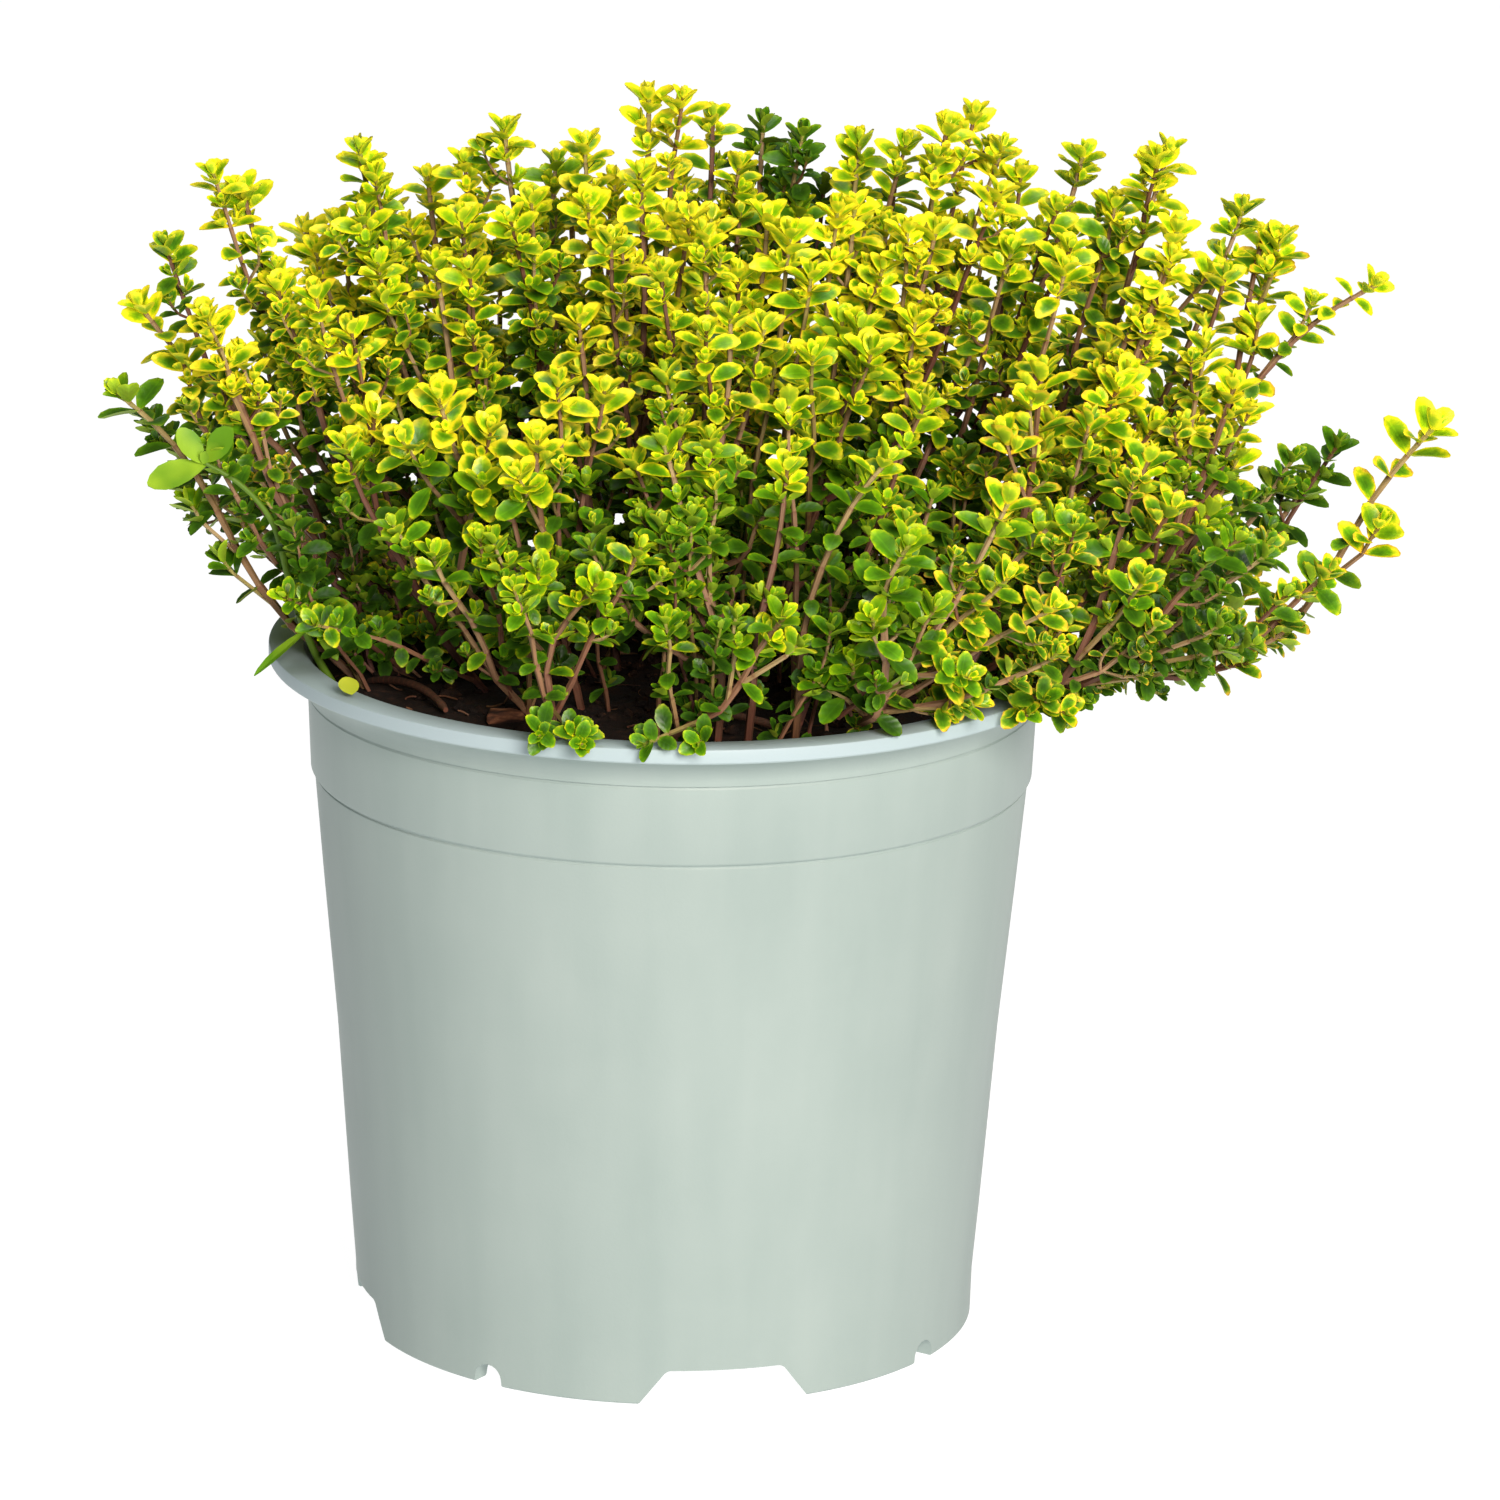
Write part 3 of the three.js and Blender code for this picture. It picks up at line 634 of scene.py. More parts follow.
def addLeaf(leaves, origin, way, turn, rise, length, shape, age, tint, roll=0.0, toLight=0.3):
    way = way + (0, 0, 0.35)
    way = way / np.linalg.norm(way)
    side = outOf(way, turn)
    rise -= 0.45 * toLight * max(0, -side[1])
    out = side * math.cos(rise) + way * math.sin(rise) + (0, 0, 0.25 * toLight)
    out /= np.linalg.norm(out)
    up = (way * math.cos(rise) - side * math.sin(rise)) * (1 - toLight) + lightWay * toLight
    up -= out * np.dot(up, out)
    up /= np.linalg.norm(up)
    across = np.cross(out, up)
    across, up = across * math.cos(roll) + up * math.sin(roll), up * math.cos(roll) - across * math.sin(roll)
    for share in (1.0, 0.8, 0.6):
        frameOfLeaf = np.array([across, out, up]) * length * share
        points = leafShapes[shape]["points"] @ frameOfLeaf + origin
        if fits(points):
            leaves.append((shape, points, min(mapSteps - 1, max(0, int(age))), tint))
            break


def leafObject(name, leaves):
    vertices, faces, spots, base = [], [], [], 0
    for shapeName, points, age, tint in leaves:
        shape = leafShapes[shapeName]
        vertices.append(points)
        faces += [tuple(base + i for i in face) for face in shape["faces"]]
        u = (age + 0.25 + 0.225 * shape["spots"][:, 0] + 0.5 * shape["spots"][:, 2]) / mapSteps
        v = (tint + 0.5 + 0.45 * shape["spots"][:, 1]) / mapSteps
        spots.append(np.stack([u, v], axis=1))
        base += len(points)
    points = (np.concatenate(vertices) + (potAxisX, 0, 0)) * mm
    return meshObject(name, points.tolist(), faces, np.concatenate(spots))


def bezier(a, b, c, count=22):
    t = np.linspace(0, 1, count)[:, None]
    return (1 - t) ** 2 * np.array(a) + 2 * t * (1 - t) * np.array(b) + t**2 * np.array(c)


rimPass = {"from": 55, "over": 6, "to": 72, "height": 122.2}


# Bends a stem a little from side to side, and keeps it over the rim where it passes the pot's edge
def natural(points, amount, chance):
    t = np.linspace(0, 1, len(points))
    swell = np.sin(math.pi * t) * amount
    points = points.copy()
    points[:, 0] += swell * np.sin(2 * math.pi * (1.2 * t + chance.random()))
    points[:, 1] += swell * np.sin(2 * math.pi * (1.1 * t + chance.random()))
    reach = np.hypot(points[:, 0], points[:, 1])
    overRim = np.clip((reach - rimPass["from"]) / rimPass["over"], 0, 1)
    low = np.clip(rimPass["height"] - points[:, 2], 0, None)
    points[:, 2] += np.where(reach < rimPass["to"], overRim * low, 0)
    return points


growth = {
    # distances between leaf pairs from the tip down, and the leaves' lengths, in mm, and how far they rise, in degrees
    "gaps": (0.5, 0.7, 1.0, 1.5, 2.6, 4.2, 5.2, 5.8, 6.0, 6.0),
    "lengths": (3.0, 4.4, 5.4, 6.0, 6.2, 6.1, 5.8, 5.6, 5.4, 5.2, 5.0, 4.8),
    "rises": (66, 52, 40, 30, 22, 15, 10, 5, 1, -2),
    "seed": 23,
    # a stem's radius at its tip, what it gains towards the root and over what length, and its swelling at each pair
    "stemTip": 0.34, "stemGain": 0.38, "stemRun": 32, "swelling": 1.28,
    # leaves age pair by pair, and below these heights they take older, darker colours the more the lower they are:
    # painted shade
    "agePerPair": 0.52, "shadeBelow": 186, "shadeRun": 29, "deepShadeBelow": 134, "deepShadeRun": 8,
    # above the first height leaves take the crown's tints, and no side shoot's tip is below the second
    "crownAbove": 158, "lowestSideTip": 134,
    # the chance of small leaves in an angle on a shoot's upper and lower half, and of a leaf missing far down on it
    "tufts": (0.6, 0.36), "lowFrom": 0.7, "lowMissing": 0.35,
    # leaves are smallest at this height, and gain this share over this rise
    "lowSize": 0.78, "sizeGain": 0.22, "sizeFrom": 125, "sizeRun": 45,
    # how far the leaves of a rosette turn to the light, those of an open rosette, and those below it
    "rosette": (0.2, 0.3, 0.5), "openRosette": (0.5, 0.58, 0.64), "facing": 0.66,
    # the small leaves in an angle, and the twig that grows in some angles instead
    "smallLeaves": (3.4, 2.5), "twigChance": 0.3, "twigReach": (4.0, 9.0), "twigSize": 0.62,
}
# Tints of the leaf map for a sprig's high and low leaves: a high tint has a wider yellow edge. On older leaves the edge
# of tint 5 has turned gold, and that of tint 2 a little
tones = {
    "crown": [(3, 4, 4, 6), (4, 6, 6, 7), (1, 3, 4, 4)],
    "low": [(0, 0, 0, 1), (0, 0, 1, 3), (0, 1, 1, 3)],
    "golden": [(5, 5, 5, 4), (5, 5, 2, 3)],
    "dark": [(0, 0, 1), (0,)],
}


def stemRadius(distance):
    return growth["stemTip"] + growth["stemGain"] * (1 - math.exp(-distance / growth["stemRun"]))


# Grows leaf pairs down a stem from its tip, with tufts and twigs in their angles, and then the stem itself
def growShoot(leaves, stems, points, vigour, older, tint, chance, tufts=True, thick=1.0, bare=5.0):
    steps = np.linalg.norm(np.diff(points, axis=0), axis=1)
    run = np.concatenate([[0], np.cumsum(steps)])
    length = run[-1]
    turn0 = chance.uniform(0, math.pi)
    column = chance.randrange(mapSteps)
    older = older + chance.uniform(-0.5, 1.0)

    def at(distance):
        d = length - distance
        here = np.array([np.interp(d, run, points[:, k]) for k in range(3)])
        ahead = np.array([np.interp(min(d + 1.5, length), run, points[:, k]) for k in range(3)])
        behind = np.array([np.interp(max(d - 1.5, 0), run, points[:, k]) for k in range(3)])
        return here, (ahead - behind) / np.linalg.norm(ahead - behind)

    rings = [(0.0, 0.32, 1.0)]
    sides = 5 if thick > 0.8 else 4
    distance, k = 0.0, 0
    while True:
        distance += growth["gaps"][min(k, 9)] * vigour * chance.uniform(0.85, 1.15)
        if distance > length - bare:
            break
        here, way = at(distance)
        thickness = stemRadius(distance) * thick
        height = 1 - (k + 1) / stemJoints
        swollen = thickness * growth["swelling"]
        rings += [(distance - 0.6, thickness, height + 0.35 / stemJoints), (distance + 0.2, swollen, height)]
        lowness = distance / length
        up = min(1.0, max(0.0, (here[2] - growth["sizeFrom"]) / growth["sizeRun"]))
        lush = growth["lowSize"] + growth["sizeGain"] * up
        size = growth["lengths"][min(k, 11)] * vigour * lush * chance.uniform(0.86, 1.12)
        # Painted shade: below these heights a leaf takes an older, darker colour by its height alone
        low = (growth["shadeBelow"] - here[2]) / growth["shadeRun"] * min(1.0, (k + 1) / 4)
        low += max(0.0, (growth["deepShadeBelow"] - here[2]) / growth["deepShadeRun"])
        age = older + k * growth["agePerPair"] + low + chance.uniform(-0.6, 0.7)
        shape = "young" if k < 3 else chance.choice(("grown", "grown", "old"))
        tuftChance = growth["tufts"][0 if lowness < 0.5 else 1]
        tone = chance.choice(tint[0] if here[2] > growth["crownAbove"] else tint[1])
        for opposite in (0, math.pi):
            if lowness > growth["lowFrom"] and chance.random() < growth["lowMissing"]:
                continue
            rise = math.radians(growth["rises"][min(k, 9)] + chance.gauss(0, 5 if k < 3 else 13))
            turn = turn0 + k * math.pi / 2 + opposite + chance.uniform(-0.22, 0.22)
            facing = growth["rosette" if tufts and vigour < 1.1 else "openRosette"][k] if k < 3 else growth["facing"]
            addLeaf(leaves, here, way, turn, rise, size, shape if k else "bud", age, tone, chance.gauss(0, 0.2), facing)
            if not tufts or k < 3 or chance.random() > tuftChance:
                continue
            side = outOf(way, turn)
            axis = way * 0.8 + side * 0.6
            if k > 4 and chance.random() < growth["twigChance"]:
                reach = chance.uniform(*growth["twigReach"])
                end = here + side * reach * 0.6 + way * reach * 0.85
                if fits(np.array([end, here + side * reach * 0.3])):
                    twig = bezier(here, here + side * reach * 0.5 + way * reach * 0.2, end, 5)
                    twigAge = older + k * 0.25
                    twigSize = growth["twigSize"]
                    growShoot(leaves, stems, twig, twigSize, twigAge, tint, chance, False, thick=twigSize, bare=1.5)
                continue
            seat = here + side * 0.8 + way * 0.4
            for pair in range(2 if k > 3 else 1):
                for half in (0, math.pi):
                    small = growth["smallLeaves"][pair] * vigour * chance.uniform(0.75, 1.2)
                    lift = math.radians(38 + 22 * pair + chance.uniform(-8, 8))
                    around = turn + math.pi / 2 * (pair + 1) + half
                    foot = seat + axis * 0.8 * pair
                    addLeaf(leaves, foot, axis, around, lift, small, "bud", age - 2 - pair, tone)
        k += 1
    rings.append((length, stemRadius(length) * thick * 1.1, max(0.02, 1 - (k + 1.4) / stemJoints)))
    rings = [r for i, r in enumerate(rings) if i == 0 or r[0] > rings[i - 1][0] + 0.05]
    spots = np.array([at(min(d, length))[0] for d, _, _ in rings[::-1]])
    addStem(stems, spots, [r for _, r, _ in rings[::-1]], [h for _, _, h in rings[::-1]], column, sides)


# Where each sprig's tip stands: across, depth towards the back, and height
sprigTips = [
    (-96, -4, 167), (-93, 7, 180), (-81, -9, 183), (-76, 21, 198), (-69, 2, 185), (-66, 36, 188), (-56, 23, 205),
    (-42, 4, 189), (-45, 44, 196), (-31, 28, 208), (-17, -6, 182), (-20, 54, 195), (-6, 25, 215), (-7, 6, 205),
    (5, 48, 207), (15, 5, 198), (14, 58, 204), (9, -22, 187), (30, 12, 199), (28, -13, 184),
    (31, 42, 204), (46, 28, 210), (44, 7, 196), (70, 36, 204), (84, 15, 209), (85, -3, 199), (101, 21, 193),
    (62, -16, 177), (77, -12, 175), (95, -12, 174), (120, 5, 188), (130, -6, 166), (111, 30, 147), (112, -21, 144),
    (-56, -25, 164), (-40, -28, 173), (-23, -36, 168), (-40, -47, 151), (-2, -44, 170), (-12, -62, 150),
    (19, -66, 146), (39, -76, 161), (36, -50, 169), (56, -52, 163), (80, -36, 167), (95, -44, 155),
    (-84, 44, 160), (-48, 70, 164), (-8, 76, 168), (34, 75, 166), (64, 66, 168), (88, 54, 160),
]
# These sprigs are drawn point by point from root to tip. Some lean out, three creep over the rim and then rise, and
# the rest stand at the front, where their stems show
sprigPaths = {
    1: [(-52, -14, 114.5), (-60, -17, 121), (-65, -16, 125), (-73, -12, 134), (-79, -9, 148), (-88, -5, 158)],
    2: [(-50, 2, 114.5), (-58, 1, 123), (-62, 2, 142), (-67, 4, 153), (-76, 6, 158), (-87, 7, 169)],
    27: [(52, 8, 114.5), (68, 4, 122), (86, 2, 130), (94, 2, 145), (96, 8, 167), (99, 18, 184)],
    28: [(42, -44, 114.5), (46, -50, 123), (53, -48, 135), (58, -38, 146), (60, -30, 156), (61, -20, 168)],
    30: [(54, -28, 114.5), (68, -30, 124), (77, -29, 131), (85, -21, 144), (90, -15, 156), (94, -12, 167)],
    31: [(54, 2, 114.5), (68, 3, 126), (84, 3, 146), (95, 3, 161), (101, 4, 171), (111, 5, 181)],
    32: [
        (40, -6, 114.5), (58, -10, 122), (72, -12, 123), (87, -10, 120), (98, -10, 121), (105, -10, 124),
        (111, -8, 130), (115, -7, 144), (121, -6, 154),
    ],
    33: [(38, 18, 114.5), (58, 18, 122), (72, 18, 123), (86, 20, 120), (95, 20, 123), (103, 24, 133), (109, 28, 142)],
    34: [(40, -16, 114.5), (58, -20, 122), (72, -22, 123), (88, -24, 121), (96, -24, 123), (104, -22, 134)],
    36: [
        (-21, -8, 114.8), (-26, -8, 116.5), (-32, -9, 117.5), (-36, -10, 121), (-38, -12, 129), (-36, -15, 139),
        (-35, -19, 150), (-38, -25, 163),
    ],
    37: [(-15, -28, 114.5), (-16, -30, 121), (-20, -32, 136), (-22, -33, 145), (-23, -35, 160)],
    39: [(8, -48, 114.5), (9, -52, 124), (8, -52, 135), (3, -48, 148), (1, -46, 160)],
    40: [(-19, -56, 114.5), (-20, -56, 124), (-20, -55, 134), (-16, -58, 141)],
    41: [(0, -54, 114.5), (2, -59, 122), (6, -62, 123.5), (11, -61, 127), (15, -62, 136)],
    42: [(32, -50, 114.5), (36, -62, 128), (35, -68, 140), (34, -71, 147), (37, -74, 154)],
    43: [(21, -48, 114.5), (22, -54, 127), (22, -54, 141), (26, -52, 152), (33, -50, 163)],
    44: [(30, -46, 114.5), (38, -55, 128), (46, -58, 142), (52, -55, 152)],
    45: [(56, -34, 114.5), (64, -42, 122), (69, -44, 132), (73, -42, 145), (77, -38, 158)],
    46: [(52, -24, 114.5), (66, -36, 123), (74, -41, 126), (80, -44, 134), (86, -44, 144), (92, -44, 150)],
}
# More shoots of these sprigs: the tip, how far up the sprig the shoot leaves, and how soon it rises. A list of points
# is a shoot with a root and a path of its own
moreShoots = {
    1: [((-84, -8, 146), 0.5, 0.5), ((-78, -11, 137), 0.36, 0.5)],
    3: [
        ((-51, -11, 125), 0.05, 0.8), ((-80, -11, 179), 0.7, 0.5), ((-75, -6, 172), 0.5, 0.5),
        ((-66, -26, 134), 0.05, 0.7),
    ],
    4: [((-81, 18, 198), 0.5, 0.4), ((-70, 16, 182), 0.4, 0.5)],
    5: [
        ((-45, -5, 124), 0.05, 0.8), ((-39, -11, 123), 0.05, 0.8), ((-62, -4, 182), 0.3, 0.5),
        ((-56, -4, 176), 0.2, 0.5),
    ],
    6: [((-62, 32, 159), 0.2, 0.6), ((-57, 32, 149), 0.1, 0.7), ((-64, 28, 183), 0.4, 0.5), ((-60, 28, 188), 0.5, 0.5)],
    7: [((-53, 18, 198), 0.5, 0.5), ((-55, 14, 192), 0.4, 0.5), ((-52, 8, 185), 0.3, 0.5)],
    8: [((-38, 14, 192), 0.4, 0.5), ((-36, 0, 186), 0.4, 0.5), ((-51, 6, 179), 0.3, 0.5)],
    9: [((-37, 46, 171), 0.2, 0.6), ((-38, 32, 198), 0.4, 0.5), ((-48, 36, 186), 0.3, 0.5)],
    10: [((-26, 20, 194), 0.4, 0.5), ((-29, 2, 194), 0.1, 0.7), ((-25, 4, 188), 0.3, 0.5)],
    12: [((-16, 8, 196), 0.1, 0.6), ((-24, 48, 184), 0.4, 0.5)],
    13: [((0, 22, 212), 0.6, 0.4), ((-12, 28, 196), 0.4, 0.5)],
    14: [((-10, 0, 191), 0.3, 0.5), ((-2, 10, 194), 0.4, 0.5), ((2, 8, 194), 0.5, 0.5)],
    15: [((10, 44, 196), 0.5, 0.5)],
    16: [((19, -4, 194), 0.4, 0.4), ((10, 0, 186), 0.3, 0.5)],
    17: [((21, 44, 202), 0.3, 0.5), ((18, 50, 192), 0.4, 0.5)],
    18: [((4, -4, 194), 0.2, 0.6), ((-3, -14, 189), 0.2, 0.6), ((15, -18, 181), 0.5, 0.5), ((5, -28, 182), 0.6, 0.5)],
    19: [((27, 8, 196), 0.5, 0.4), ((35, 6, 186), 0.4, 0.5)],
    20: [((33, -22, 178), 0.5, 0.5), ((23, -27, 178), 0.5, 0.5), ((31, -14, 180), 0.6, 0.5)],
    21: [((39, 34, 202), 0.4, 0.5), ((34, 32, 190), 0.3, 0.5)],
    22: [((51, 38, 207), 0.4, 0.4), ((56, 34, 202), 0.4, 0.5), ((44, 24, 202), 0.6, 0.5)],
    23: [((55, 10, 199), 0.2, 0.6), ((39, 6, 193), 0.5, 0.5)],
    24: [((59, 30, 198), 0.4, 0.5), ((65, 8, 197), 0.1, 0.6), ((57, 4, 190), 0.1, 0.6), ((67, 2, 191), 0.1, 0.6)],
    25: [((82, 12, 205), 0.8, 0.4), ((75, 16, 196), 0.4, 0.5), ((92, 10, 186), 0.5, 0.5)],
    26: [((84, -4, 191), 0.7, 0.4), ((80, -2, 185), 0.5, 0.5), ((66, -4, 189), 0.1, 0.6)],
    27: [((100, 9, 178), 0.6, 0.4), ((97, 3, 155), 0.4, 0.4), ((94, 10, 147), 0.35, 0.5), ((104, 18, 190), 0.85, 0.4)],
    28: [((60, -22, 170), 0.8, 0.4), ((55, -26, 165), 0.7, 0.4), ((64, -14, 164), 0.5, 0.5)],
    29: [((75, -16, 171), 0.6, 0.5), ((72, -18, 165), 0.5, 0.5), ((82, -10, 163), 0.4, 0.5)],
    30: [((90, -8, 177), 0.6, 0.4), ((87, -12, 164), 0.5, 0.5), ((98, -10, 166), 0.7, 0.4), ((92, -16, 150), 0.3, 0.5)],
    31: [((109, 4, 182), 0.72, 0.4)],
    32: [
        ((121, -12, 147), 0.72, 0.3), ((100, 0, 132), 0.45, 0.5), ((92, -8, 128), 0.35, 0.5),
        ((86, -14, 131), 0.3, 0.5), ((104, -14, 130), 0.55, 0.4),
    ],
    33: [
        ((92, 22, 126), 0.45, 0.5), ((100, 14, 144), 0.45, 0.6), ((108, 22, 150), 0.6, 0.5),
        ((116, 26, 152), 0.75, 0.4), ((104, 18, 138), 0.6, 0.5), ((94, 12, 136), 0.45, 0.5),
        ((88, 16, 132), 0.35, 0.5), ((98, 22, 131), 0.5, 0.5), ((84, 22, 140), 0.3, 0.5),
    ],
    34: [
        ((98, -28, 126), 0.6, 0.4), ((86, -18, 124.5), 0.35, 0.5), ((104, -28, 138), 0.6, 0.5),
        ((82, -20, 136), 0.25, 0.6), ((101, -24, 146), 0.45, 0.6), ((93, -30, 134), 0.4, 0.5),
        ((88, -22, 134), 0.35, 0.5), ((84, -30, 129), 0.3, 0.5), ((106, -20, 131), 0.7, 0.4),
        ((78, -26, 130), 0.25, 0.5), ((92, -18, 129), 0.4, 0.5),
    ],
    35: [
        [
            (-28, -10, 114.8), (-32, -10, 116.5), (-37, -10, 121), (-43, -10, 129), (-47, -11, 134), (-50, -12, 141),
            (-52, -15, 151), (-51, -20, 165),
        ],
        ((-60, -44, 134), 0.08, 0.7),
    ],
    36: [
        ((-30, -13, 124), 0.1, 0.8), ((-24, -12, 122), 0.02, 0.9), ((-31, -30, 165), 0.6, 0.5),
        ((-46, -28, 162), 0.6, 0.5), ((-32, -36, 157), 0.6, 0.4),
    ],
    37: [((-20, -24, 172), 0.3, 0.6), ((-12, -26, 171), 0.3, 0.6), ((-26, -42, 160), 0.7, 0.4)],
    38: [((-32, -50, 151), 0.2, 0.6), ((-22, -54, 147), 0.1, 0.7), ((-47, -38, 150), 0.3, 0.5)],
    39: [((6, -42, 167), 0.6, 0.4), ((-7, -38, 162), 0.3, 0.5), ((7, -46, 160), 0.5, 0.5), ((-2, -22, 173), 0.2, 0.6)],
    40: [
        ((-26, -62, 146), 0.1, 0.6), ((-5, -54, 151), 0.1, 0.6), ((-30, -50, 151), 0.1, 0.7),
        ((-21, -71, 122.8), 0.28, 0.8), ((-14, -72, 121.8), 0.28, 0.9),
    ],
    41: [
        ((-1, -62, 141), 0.15, 0.6), ((11, -62, 142), 0.5, 0.6), ((-4, -72, 121.8), 0.4, 0.8),
        ((5, -72, 121.8), 0.4, 0.8), ((22, -62, 137), 0.6, 0.5),
    ],
    42: [
        ((33, -74, 145), 0.5, 0.5), ((44, -62, 144), 0.3, 0.5), ((30, -62, 134), 0.1, 0.6), ((24, -58, 130), 0.1, 0.6),
        ((39, -68, 132), 0.4, 0.6),
    ],
    43: [
        ((42, -42, 174), 0.1, 0.6), ((19, -28, 171), 0.1, 0.7),
        [(13, -50, 114.5), (14, -56, 126), (14, -55, 136), (16, -52, 143), (18, -50, 152), (19, -48, 164)],
    ],
    44: [
        ((52, -51, 124), 0.2, 0.9), ((56, -58, 148), 0.3, 0.6), ((64, -58, 143), 0.1, 0.6), ((64, -46, 155), 0.2, 0.6),
        ((50, -64, 132), 0.4, 0.7),
    ],
    45: [
        ((60, -46, 121), 0.08, 0.9), ((67, -43, 120.5), 0.1, 0.9), ((63, -48, 124), 0.08, 0.9),
        ((60, -36, 130), 0.1, 0.8), ((79, -50, 146), 0.4, 0.5), ((70, -24, 167), 0.2, 0.7),
        ((66, -42, 138), 0.15, 0.6), ((84, -40, 156), 0.6, 0.4),
    ],
    46: [
        ((70, -38, 121.5), 0.1, 0.9), ((75, -34, 123.5), 0.1, 0.9), ((73, -24, 128), 0.15, 0.9),
        ((66, -26, 131), 0.1, 0.8), ((98, -42, 133), 0.5, 0.5), ((90, -40, 128), 0.4, 0.5),
        ((100, -36, 147), 0.4, 0.5), ((92, -48, 138), 0.5, 0.4), ((86, -34, 138), 0.4, 0.5),
        ((80, -46, 132), 0.4, 0.4),
    ],
    47: [
        ((-78, 38, 150), 0.3, 0.5), ((-66, 40, 146), 0.2, 0.6), ((-58, 50, 152), 0.2, 0.6),
        ((-72, 34, 138), 0.05, 0.7), ((-62, 46, 130), 0.05, 0.8),
    ],
    48: [
        ((-32, 62, 178), 0.4, 0.5), ((-30, 56, 161), 0.3, 0.6), ((-24, 62, 167), 0.3, 0.6), ((-38, 56, 152), 0.2, 0.6),
        ((-54, 50, 158), 0.3, 0.6), ((-44, 58, 134), 0.05, 0.8), ((-30, 66, 129), 0.05, 0.8),
    ],
    49: [((-8, 50, 139), 0.05, 0.8), ((-10, 66, 133), 0.05, 0.8), ((6, 70, 128), 0.05, 0.8)],
    50: [
        ((42, 56, 147), 0.1, 0.7), ((47, 47, 143), 0.05, 0.7), ((47, 66, 172), 0.4, 0.5), ((30, 66, 134), 0.05, 0.8),
        ((18, 70, 129), 0.05, 0.8),
    ],
    51: [
        ((48, 52, 167), 0.2, 0.6), ((44, 58, 159), 0.2, 0.6), ((54, 58, 180), 0.3, 0.5), ((52, 54, 134), 0.05, 0.8),
        ((60, 48, 128), 0.05, 0.8),
    ],
    52: [((72, 42, 134), 0.05, 0.8), ((80, 34, 128), 0.05, 0.8)],
}
looseSprigs = (1, 2, 6, 27, 31, 32, 33, 34, 35, 36, 38, 40, 41, 42, 46)  # no side shoots fill these up
goldenSprigs = (5, 16, 27, 28, 29, 32, 34, 44, 45)  # the edges of these sprigs' older leaves have turned
darkSprigs = (1, 17)  # these have little yellow at their edges
# How much larger, or smaller, these sprigs' leaves and the gaps between them are
lushSprigs = {
    1: 1.25, 31: 0.8, 16: 1.14, 20: 1.14, 27: 1.14, 28: 1.16, 29: 1.16, 32: 1.2, 33: 1.16, 34: 1.2, 36: 1.16, 37: 1.14,
    42: 1.2, 44: 1.16, 45: 1.16,
}
openSprigs = (1, 2, 31, 32)  # no small leaves grow in the angles of these sprigs' leaves
bareLengths = {35: 8, 36: 8, 37: 6, 38: 9, 40: 7, 42: 7}  # no leaves grow this near to these roots, in mm
# How many steps older or younger these sprigs' leaves look than their height gives; the older steps are painted shade
# on sprigs that stand behind others
ageAndShadeSteps = {
    1: 1.2, 13: -0.6, 14: -1.0, 15: 1.2, 16: -1.4, 17: 3.4, 19: -1.0, 23: -0.8, 33: 2.4, 34: 2.8, 44: 0.6, 45: 1.2,
    46: 1.8,
}


# A line along corners, evenly stepped and then smoothed
def flowing(corners, count=28, rounds=10):
    corners = np.array(corners, dtype=float)
    run = np.concatenate([[0], np.cumsum(np.linalg.norm(np.diff(corners, axis=0), axis=1))])
    steps = np.linspace(0, run[-1], count)
    line = np.column_stack([np.interp(steps, run, corners[:, k]) for k in range(3)])
    for _ in range(rounds):
        line[1:-1] = (line[:-2] + 2 * line[1:-1] + line[2:]) / 4
    return line


# A sprig's stem ends below its tip by the height of the rosette. Roots stand nearer the middle than the tips, and not
# past the limit
sprigShape = {"points": 28, "rosette": 3.2, "rootX": 0.56, "rootY": 0.72, "rootLimit": 55, "rootDepth": 1.0}
lastPoint = sprigShape["points"] - 1


# A sprig without a path of its own leans out from the soil and then turns up
def sprigCurve(number, tip):
    x, y, z = tip
    end = (x, y, z - sprigShape["rosette"])
    if number in sprigPaths:
        return flowing(sprigPaths[number] + [end])
    root = np.array([x * sprigShape["rootX"], y * sprigShape["rootY"], 0.0])
    far = math.hypot(root[0], root[1])
    if far > sprigShape["rootLimit"]:
        root *= sprigShape["rootLimit"] / far
    root[2] = soilTop(math.hypot(root[0], root[1])) - sprigShape["rootDepth"]
    bend = root + (np.array(tip) - root) * (0.62, 0.62, 0.38)
    return bezier(root, bend, end, sprigShape["points"])


# Shoots that fill the plant between the sprigs: at what share of the sprig they leave it, how far out and down from its
# tip theirs lie, how they bend, and how large, old and thick they are. Low shoots rise from the soil beside the root
# Their added age gives their leaves older, darker colours, partly for their age and partly as painted shade inside the
# plant
sideShoot = {
    "count": 3, "from": (0.06, 0.4), "sway": 0.4, "reach": (8, 14), "drop": (10, 20), "nextDrop": (8, 14),
    "bend": (0.75, 0.75, 0.34), "uneven": 1.0, "size": (0.9, 1.0), "older": (1.2, 2.6), "thick": 0.86,
}
highShoot = {
    "count": 2, "from": (0.38, 0.62), "sway": 0.5, "reach": (5, 9), "drop": (8, 18), "bend": (0.85, 0.85, 0.4),
    "uneven": 0.6, "size": 0.86, "older": (0.4, 1.6), "thick": 0.7, "points": 12, "deeperThan": 35,
}
lowShoot = {
    "aside": 5, "outwards": 1.12, "height": (16, 42), "bend": (0.7, 0.7, 0.4), "uneven": 0.8, "points": 12,
    "older": 2.2, "nextOlder": 0.5, "size": 0.95, "thick": 0.6, "bare": 2.0,
    "openSoil": {"across": (-60, -24), "depth": -26},  # none stands where the soil shows at the front left
}
sprigTurn = 0.31  # from one sprig to the next the shoots start this much further round, in golden turns
tipRoom = {"low": (5, 5, 12), "high": (5, 5, 4)}  # how far inside the leaves' box the tips of shoots stay


def tipInBox(end):
    return np.clip(end, boxLow + tipRoom["low"], boxHigh - tipRoom["high"])


